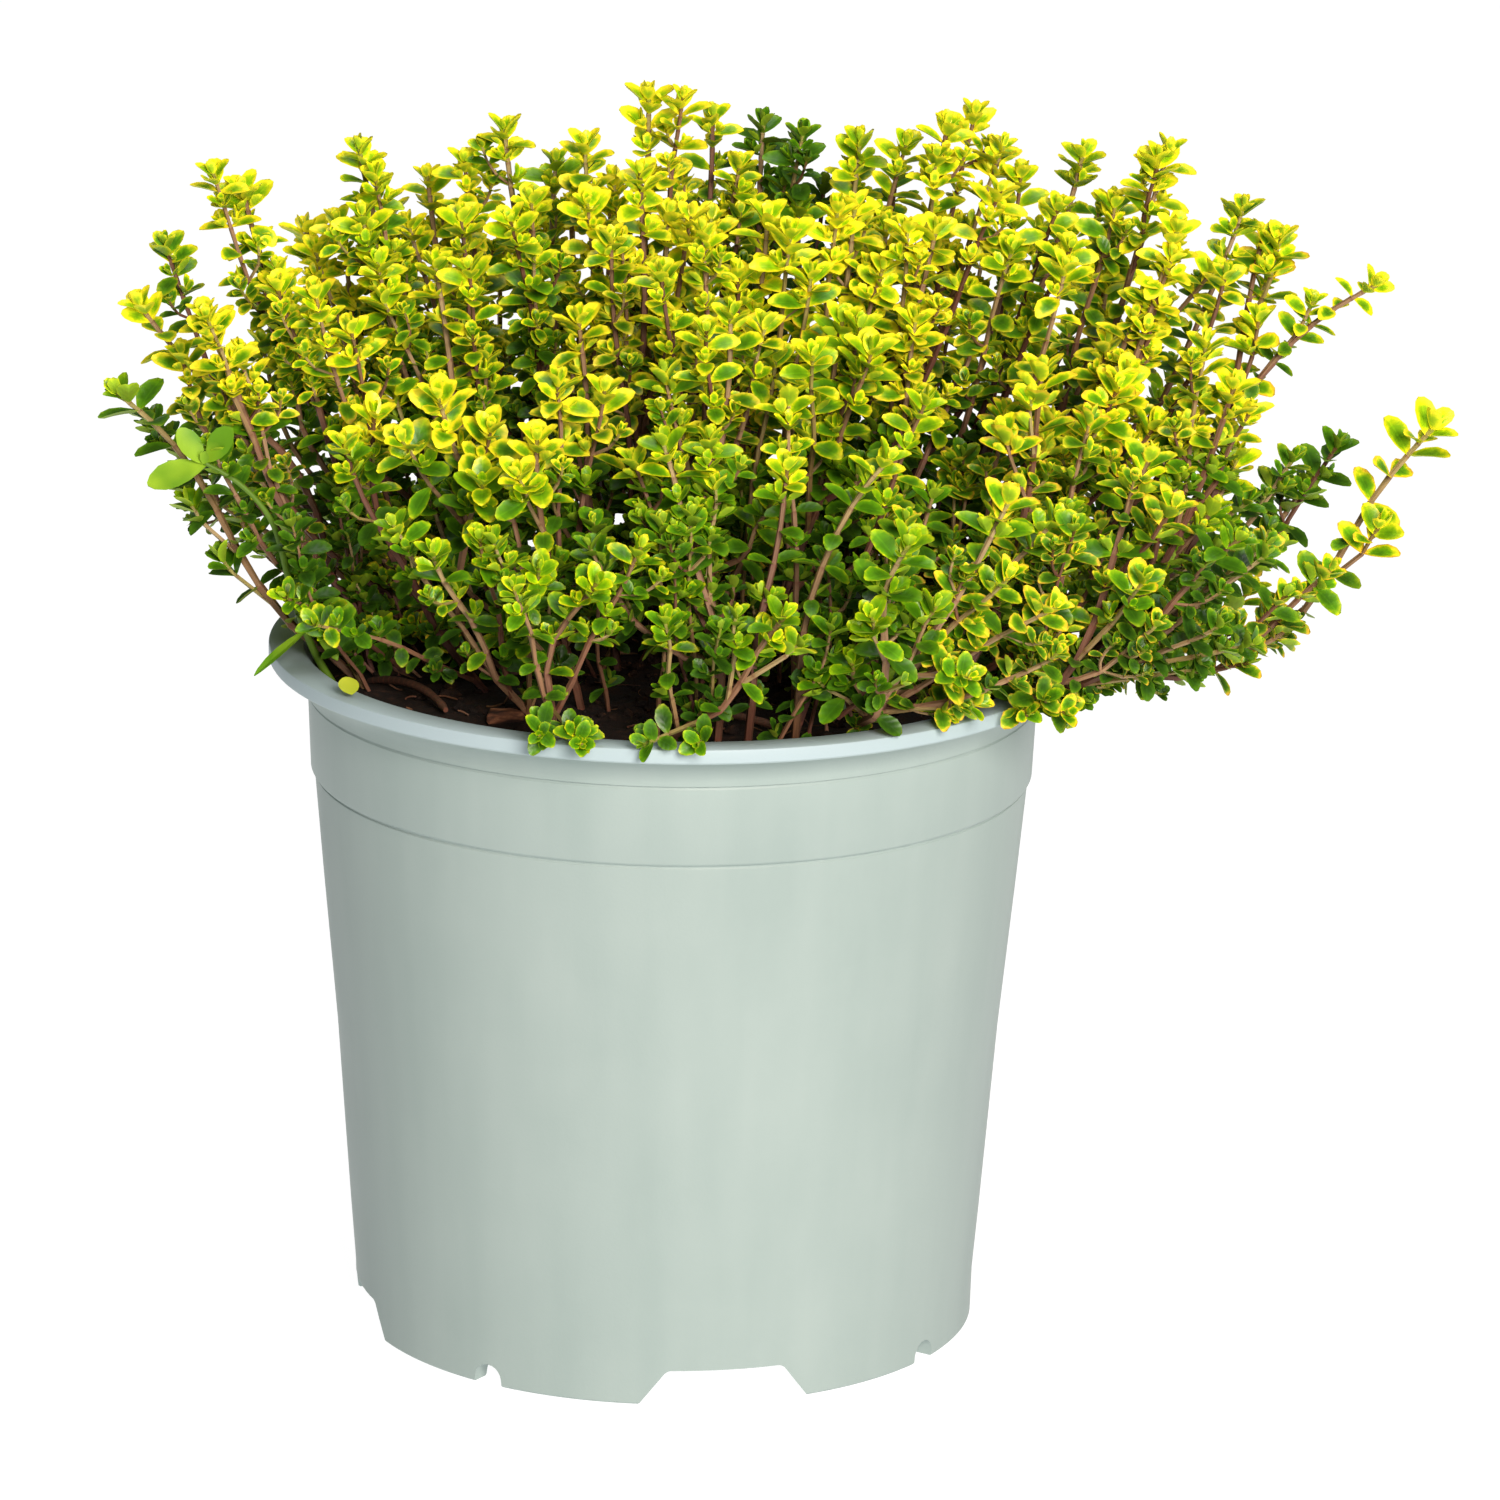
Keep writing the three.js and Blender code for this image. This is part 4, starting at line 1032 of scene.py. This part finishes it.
# Shoots that leave a sprig near its foot and fill the plant below its tip
def sideShoots(main, tip, number, chance):
    for k in range(sideShoot["count"]):
        start = main[int(chance.uniform(*sideShoot["from"]) * lastPoint)]
        turn = goldenTurn * (k + number * sprigTurn) + chance.uniform(-sideShoot["sway"], sideShoot["sway"])
        reach = chance.uniform(*sideShoot["reach"])
        drop = chance.uniform(*sideShoot["drop"]) + k * chance.uniform(*sideShoot["nextDrop"])
        end = tipInBox(tip + (reach * math.cos(turn), reach * math.sin(turn), -drop))
        end[2] = max(end[2], growth["lowestSideTip"])
        bend = start + (end - start) * sideShoot["bend"]
        shoot = natural(bezier(start, bend, end), sideShoot["uneven"], chance)
        yield shoot, chance.uniform(*sideShoot["size"]), chance.uniform(*sideShoot["older"]), sideShoot["thick"]


# Shoots that leave a sprig at the back about half way up
def highShoots(main, tip, number, chance):
    for k in range(highShoot["count"]):
        start = main[int(chance.uniform(*highShoot["from"]) * lastPoint)]
        turn = goldenTurn * (k + 0.5 + number * sprigTurn) + chance.uniform(-highShoot["sway"], highShoot["sway"])
        reach = chance.uniform(*highShoot["reach"])
        drop = chance.uniform(*highShoot["drop"])
        end = tipInBox(tip + (reach * math.cos(turn), reach * abs(math.sin(turn)), -drop))
        bend = start + (end - start) * highShoot["bend"]
        shoot = natural(bezier(start, bend, end, highShoot["points"]), highShoot["uneven"], chance)
        yield shoot, highShoot["size"], chance.uniform(*highShoot["older"]), highShoot["thick"]


# Short shoots from the soil beside a sprig's root: three if its tip stands in the middle of the pot's depth, two if it
# stands far forward, and one if it stands elsewhere
def lowShoots(root, depth, chance):
    aside = lowShoot["aside"]
    left, right = lowShoot["openSoil"]["across"]
    for k in range(3 if -14 < depth < 30 else 2 if depth < -40 else 1):
        start = root + (chance.uniform(-aside, aside), chance.uniform(-aside, aside), 0)
        outer = start * lowShoot["outwards"]
        end = outer + (chance.uniform(-10, 10), chance.uniform(-8, 10), chance.uniform(*lowShoot["height"]))
        if end[1] < lowShoot["openSoil"]["depth"] and left < end[0] < right:
            continue
        end[2] -= outer[2] - start[2]
        bend = start + (end - start) * lowShoot["bend"]
        shoot = natural(bezier(start, bend, end, lowShoot["points"]), lowShoot["uneven"], chance)
        yield shoot, lowShoot["older"] + lowShoot["nextOlder"] * k


def growSprig(number, tip):
    chance = random.Random(growth["seed"] * 100 + number)
    leaves, stems = [], {"vertices": [], "faces": [], "spots": []}
    main = natural(sprigCurve(number, tip), 0.5 if number in sprigPaths else 1.2, chance)
    # A sprig's age steps; where they are older, they paint shade into its leaves
    older = ageAndShadeSteps.get(number, 0.0)
    tint = (chance.choice(tones["crown"]), chance.choice(tones["low"]))
    for kind, members in (("golden", goldenSprigs), ("dark", darkSprigs)):
        tint = tones[kind] if number in members else tint
    vigour = lushSprigs.get(number, 1.0)
    tufts = number not in openSprigs
    growShoot(leaves, stems, main, vigour, older, tint, chance, tufts, bare=bareLengths.get(number, 5.0))
    tip = np.array(tip, dtype=float)
    spread = [] if number in looseSprigs else [sideShoots(main, tip, number, chance)]
    if tip[1] > highShoot["deeperThan"]:
        spread.append(highShoots(main, tip, number, chance))
    for shoots in spread:
        for shoot, size, ageing, thick in shoots:
            growShoot(leaves, stems, shoot, size, older + ageing, tint, chance, thick=thick)
    thick, bare = lowShoot["thick"], lowShoot["bare"]
    for shoot, age in lowShoots(main[0], tip[1], chance):
        growShoot(leaves, stems, shoot, lowShoot["size"], age, tint, chance, thick=thick, bare=bare)
    for k, more in enumerate(moreShoots.get(number, ())):
        if isinstance(more, list):
            growShoot(leaves, stems, flowing(more), 1.0, 0.0, tint, chance, bare=8.0)
            continue
        end, share, rise = more
        start = main[int(share * lastPoint)]
        bend = start + (np.array(end) - start) * (0.55, 0.55, rise)
        shoot = natural(bezier(start, bend, end, 16), 0.6, chance)
        bare = min(7.0, 3.0 + 10 * share)
        growShoot(leaves, stems, shoot, 0.95 * vigour, older + 0.2 * k, tint, chance, tufts, 0.8, bare)
    deselectAll()
    woody = meshObject("stems", stems["vertices"], stems["faces"], stems["spots"])
    smooth(woody, 70)
    leafy = leafObject("leaves", leaves)
    smooth(leafy, 62)
    node = f"thyme_sprig_{number:02d}"
    finishPiece(woody, f"thyme_stems_{number:02d}", stemMaterial, "stem_bark", node)
    finishPiece(leafy, f"thyme_leaves_{number:02d}", leafMaterial, "variegated_leaf", node)
    return len(leaves)


leafMaterial = variegatedLeaf()
stemMaterial = stemBark(
    "thyme_stem_bark", [(0.0, "#34201A"), (0.36, "#624232"), (0.6, "#937358"), (0.82, "#A5946A"), (0.95, "#98A23C")]
)
count = sum(growSprig(i + 1, tip) for i, tip in enumerate(sprigTips))
print("sprigs grown, with", count, "leaves")


# How far from the pot's axis the litter lies, its sizes and thicknesses in mm, and its seeds
litter = {
    "reach": 60.5, "fibreReach": 57, "crumbs": (0.5, 0.6, 0.7, 0.8, 1.0, 1.3, 1.8), "crumbShapes": 4,
    "fibres": (0.07, 0.09, 0.12, 0.18), "crumbSeed": 11, "fibreSeed": 12, "fibrePoints": 7,
}


# Crumbs of soil: a few lumpy stones of soil are modelled, and copies of them lie on the surface
def crumbShape(number):
    deselectAll()
    bpy.ops.mesh.primitive_ico_sphere_add(subdivisions=1, radius=1.0, location=(0, 0, 0))
    crumb = bpy.context.object
    for v in crumb.data.vertices:
        v.co *= 0.8 + 0.45 * noise.noise(v.co * 1.7 + Vector((number * 7.3, 0, 0)))
    points = np.array([v.co for v in crumb.data.vertices])
    faces = [tuple(polygon.vertices) for polygon in crumb.data.polygons]
    bpy.data.objects.remove(crumb)
    return points, faces


def turned(points, chance):
    a, b = chance.uniform(0, aTurn), chance.uniform(0, aTurn)
    spin = np.array([[math.cos(a), -math.sin(a), 0], [math.sin(a), math.cos(a), 0], [0, 0, 1]])
    tip = np.array([[1, 0, 0], [0, math.cos(b), -math.sin(b)], [0, math.sin(b), math.cos(b)]])
    return points @ spin.T @ tip.T


def makeCrumbs():
    chance = random.Random(litter["crumbSeed"])
    shapes = [crumbShape(k) for k in range(litter["crumbShapes"])]
    vertices, faces = [], []
    for _ in range(soilShape["crumbs"]):
        reach, turn = litter["reach"] * math.sqrt(chance.random()), chance.uniform(0, aTurn)
        x, y = reach * math.cos(turn), reach * math.sin(turn)
        size = chance.choice(litter["crumbs"])
        points, shapeFaces = shapes[chance.randrange(litter["crumbShapes"])]
        points = turned(points, chance) * size * (1.0, 0.8, 0.7) + (x, y, soilTop(reach) + lumpAt(x, y) + size * 0.2)
        faces += [tuple(len(vertices) + i for i in face) for face in shapeFaces]
        vertices += [place(*p) for p in points]
    crumbs = meshObject("crumbs", vertices, faces)
    smooth(crumbs, 30)
    finishPiece(crumbs, "soil_crumbs", pottingMix("dry_soil_crumbs", "#A8764C"), "soil", "soil")


# Fine roots, twigs and old fibres lie criss-cross on the soil
def makeFibres():
    chance = random.Random(litter["fibreSeed"])
    count = litter["fibrePoints"]
    fibres = {"vertices": [], "faces": [], "spots": []}
    for _ in range(soilShape["fibres"]):
        reach = litter["fibreReach"] * math.sqrt(chance.random())
        turn, way = chance.uniform(0, aTurn), chance.uniform(0, aTurn)
        long, bow = chance.uniform(1.5, 6), chance.uniform(-2, 2)
        start = np.array([reach * math.cos(turn), reach * math.sin(turn)])
        along = np.array([math.cos(way), math.sin(way)])
        flat = bezier(start - along * long / 2, start + along[::-1] * (bow, -bow), start + along * long / 2, count)
        far = np.hypot(flat[:, 0], flat[:, 1])
        if far.max() > litter["reach"]:
            continue
        lift = chance.uniform(0.1, 0.5) + chance.uniform(0, 1.6) * np.linspace(0, 1, count)
        heights = [soilTop(r) + lumpAt(x, y) + up for r, (x, y), up in zip(far, flat, lift)]
        thick = chance.choice(litter["fibres"])
        points = np.column_stack([flat, heights])
        radii = [thick] * (count - 1) + [thick * 0.6]
        addStem(fibres, points, radii, [0.3 + 0.05 * i for i in range(count)], chance.randrange(mapSteps), 4)
    obj = meshObject("fibres", fibres["vertices"], fibres["faces"], fibres["spots"])
    smooth(obj, 60)
    bark = stemBark("old_root_fibre", [(0.0, "#3A2618"), (0.5, "#5E4029"), (1.0, "#86623F")])
    finishPiece(obj, "soil_fibres", bark, "soil", "soil")


makeCrumbs()
makeFibres()
print("crumbs and fibres laid")


# Pine bark: cork in thin plates, reddish brown where it has split, darker in the cracks
def pineBark():
    material, tree, shader = newMaterial("pine_bark_chip", Roughness=0.82, Specular_IOR_Level=0.3)
    where = addNode(tree, "TexCoord")
    grain = {"Scale": (180.0, 420.0, 900.0), "Rotation": (0.2, 0.1, 0.3)}
    layers = addNode(tree, "Mapping", {"Vector": (where, "Object"), **grain})
    plates = addNode(tree, "TexNoise", {"Vector": layers, "Scale": 1.0, "Detail": 5.0, "Roughness": 0.6})
    cork = [(0.35, "#24140C"), (0.5, "#54321F"), (0.62, "#7A4E34"), (0.75, "#966C4E")]
    tone = addNode(tree, "ValToRGB", {"Fac": plates}, ramp=cork)
    bump = addNode(tree, "Bump", {"Height": plates, "Strength": 0.7, "Distance": 0.0006})
    wire(tree, shader, {"Base Color": tone, "Normal": bump})
    return material


# Each chip's length, width, height, place across and depth, and turn, and then what they have in common
barkChips = [(7, 3.4, 2.6, -28, -37, 0.3), (6, 4, 2.2, 23, -20, 1.9)]
chipShape = {"taper": (1, 0.62, 0.7), "skew": 0.18, "edge": 0.8, "lumpScale": 0.7, "lumps": 0.45, "rise": 0.42}


def makeChip(number, material, length, width, height, x, y, turn):
    deselectAll()
    bpy.ops.mesh.primitive_cube_add(size=1.0, location=(0, 0, 0))
    chip = bpy.context.object
    chip.scale = (length * mm, width * mm, height * mm)
    settle(chip)
    bpy.ops.object.mode_set(mode="EDIT")
    pick(lambda co, i: co.x > 0)
    bpy.ops.transform.resize(value=chipShape["taper"])
    pick(lambda co, i: co.x < 0 and co.y > 0)
    bpy.ops.transform.translate(value=(length * chipShape["skew"] * mm, 0, 0))
    bpy.ops.mesh.select_all(action="SELECT")
    bpy.ops.mesh.bevel(offset=chipShape["edge"] * mm, segments=3)
    bpy.ops.mesh.select_all(action="SELECT")
    bpy.ops.mesh.subdivide(number_cuts=2)
    bpy.ops.object.mode_set(mode="OBJECT")
    for v in chip.data.vertices:
        lump = noise.noise(v.co / mm * chipShape["lumpScale"] + Vector((number * 5.0, 0, 0)))
        v.co += v.normal * lump * chipShape["lumps"] * mm
    chip.rotation_euler.z = turn
    chip.location = place(x, y, soilTop(math.hypot(x, y)) + height * chipShape["rise"])
    settle(chip)
    smooth(chip, 40)
    finishPiece(chip, f"bark_chip_visual_{number}", material, "bark", f"bark_chip_{number}")


chipBark = pineBark()
for i, chip in enumerate(barkChips):
    makeChip(i + 1, chipBark, *chip)

# Old woody stems that run along the soil: across, depth and lift of three points
runners = [[(-52, -14, 0), (-44, -22, 1.4), (-38, -34, 0.4)], [(-2, -36, 0), (8, -37, 1.2), (19, -42, 0.2)]]
runnerShape = {
    "radius": 0.7, "lift": 0.9, "points": 18, "ends": 0.7, "uneven": 0.14, "tint": 3, "sides": 8, "seed": 40,
}
runnerBark = stemBark("old_runner_bark", [(0.0, "#2A1C14"), (0.3, "#3E2A1E"), (0.6, "#4E382A"), (1.0, "#5A4432")])


def makeRunner(number, corners):
    chance = random.Random(runnerShape["seed"] + number)
    parts = {"vertices": [], "faces": [], "spots": []}
    rise = runnerShape["lift"]
    a, b, c = [np.array([x, y, soilTop(math.hypot(x, y)) + lift + rise]) for x, y, lift in corners]
    count = runnerShape["points"]
    line = bezier(a, 2 * b - (a + c) / 2, c, count)
    radii = [runnerShape["radius"] * (1 + runnerShape["uneven"] * chance.uniform(-1, 1)) for _ in range(count)]
    radii = [radius * (runnerShape["ends"] if i in (0, count - 1) else 1.0) for i, radius in enumerate(radii)]
    addStem(parts, line, radii, np.linspace(0.05, 0.9, count), runnerShape["tint"], runnerShape["sides"])
    obj = meshObject("runner", parts["vertices"], parts["faces"], parts["spots"])
    smooth(obj, 50)
    finishPiece(obj, f"woody_runner_visual_{number}", runnerBark, "stem_bark", f"woody_runner_{number}")


for i, corners in enumerate(runners):
    makeRunner(i + 1, corners)
print("chips and runners made")


# The seedling's leaf is thin, soft and fresh green, yellower in places; its stem, further along the map, is darker
def seedlingLeaf(name, green, pale, stalk):
    material, tree, shader = newMaterial(name, Roughness=0.5, Specular_IOR_Level=0.25)
    where = addNode(tree, "TexCoord")
    broad = addNode(tree, "TexNoise", {"Vector": (where, "Object"), "Scale": 110.0, "Detail": 2.0})
    tone = addNode(tree, "ValToRGB", {"Fac": broad}, ramp=[(0.36, green), (0.62, pale)])
    spot = addNode(tree, "SeparateXYZ", {0: addNode(tree, "UVMap", uv_map="OFBake")})
    onStem = addNode(tree, "Math", {0: spot, 1: 0.2}, operation="GREATER_THAN")
    tone = addNode(tree, "Mix", {"Factor": onStem, 6: tone, 7: stalk}, data_type="RGBA")
    fine = addNode(tree, "TexNoise", {"Vector": (where, "Object"), "Scale": 900.0, "Detail": 3.0})
    bump = addNode(tree, "Bump", {"Height": fine, "Strength": 0.25, "Distance": 0.0002})
    wire(tree, shader, {"Base Color": tone, "Normal": bump})
    return material


# Its stem's points, and each leaf's base, tip, shape and breadth
seedling = {
    "stem": [
        (-57.5, -15, 114.8), (-61.2, -16.5, 121.3), (-65, -17.5, 131.6), (-66.4, -18, 138.4), (-68, -18.5, 145.5),
        (-73.6, -19, 152.2), (-80, -19, 155.5),
    ],
    "radius": 0.68,
    "points": 30,
    "facing": (0, -0.75, 0.66),
    "leaves": [
        ((-79.5, -19, 155.2), (-89.5, -21, 152.4), "narrow", 1.15),
        ((-80, -19, 155.2), (-84, -20, 161.5), "narrow", 1.25),
        ((-79.5, -19, 155.5), (-75.5, -21, 162), "narrow", 1.35),
        ((-62, -18, 126.5), (-70.5, -29, 121.8), "narrow", 0.26),
        ((-80, -19.5, 155.3), (-79.4, -20.6, 158), "bud", 1.0),
        ((-61.5, -18, 127), (-54.5, -22, 131), "broad", 0.95), ((-61.8, -17, 127.5), (-57, -21, 122), "narrow", 0.6),
    ],
}


def makeSeedling():
    count = seedling["points"]
    line = flowing(seedling["stem"], count, 6)
    parts = {"vertices": [], "faces": [], "spots": []}
    radii = [seedling["radius"] * (1.1 - 0.5 * i / (count - 1)) for i in range(count)]
    addStem(parts, line, radii, np.linspace(0, 1, count), 2, 7)
    leaves = []
    for base, tip, shape, breadth in seedling["leaves"]:
        out = np.array(tip) - base
        up = np.cross(np.cross(out, seedling["facing"]), out)
        up *= np.linalg.norm(out) / np.linalg.norm(up)
        across = np.cross(out, up) / np.linalg.norm(up) * breadth
        leaves.append((shape, leafShapes[shape]["points"] @ np.array([across, out, up]) + base, 0, 0))
    stem = meshObject("seedling", parts["vertices"], parts["faces"], parts["spots"])
    blades = leafObject("blades", leaves)
    activate(stem)
    blades.select_set(True)
    bpy.ops.object.join()
    smooth(stem, 60)
    fresh = seedlingLeaf("fresh_seedling_leaf", "#5C8C14", "#9CBE2C", "#55741C")
    finishPiece(stem, "pale_seedling_visual", fresh, "pale_leaf", "pale_seedling")


# The leaf on the flange: how far from the pot's axis and at what turn it lies, then its shift, height and size, and the
# ways of its three axes
fallenLeaf = {
    "reach": 67.4, "turn": 53, "shift": (0.3, -0.9), "height": 121.2, "size": (4.4, 4.2, 4.2),
    "ways": [[0.9, 0.1, 0.1], [-0.3, 0.72, 0.62], [0.0, -0.66, 0.75]],
}


def makeFallenLeaf():
    turn, reach = math.radians(fallenLeaf["turn"]), fallenLeaf["reach"]
    (x, y), z = fallenLeaf["shift"], fallenLeaf["height"]
    origin = np.array([-reach * math.sin(turn) + x, -reach * math.cos(turn) + y, z])
    points = leafShapes["broad"]["points"] * fallenLeaf["size"] @ np.array(fallenLeaf["ways"]) + origin
    leaf = leafObject("fallen", [("broad", points, 0, 0)])
    smooth(leaf, 60)
    yellowed = seedlingLeaf("yellowed_leaf", "#96A428", "#B6BE30", "#96A428")
    finishPiece(leaf, "fallen_leaf_visual", yellowed, "pale_leaf", "fallen_leaf")


makeSeedling()
makeFallenLeaf()
print("seedling and fallen leaf made")
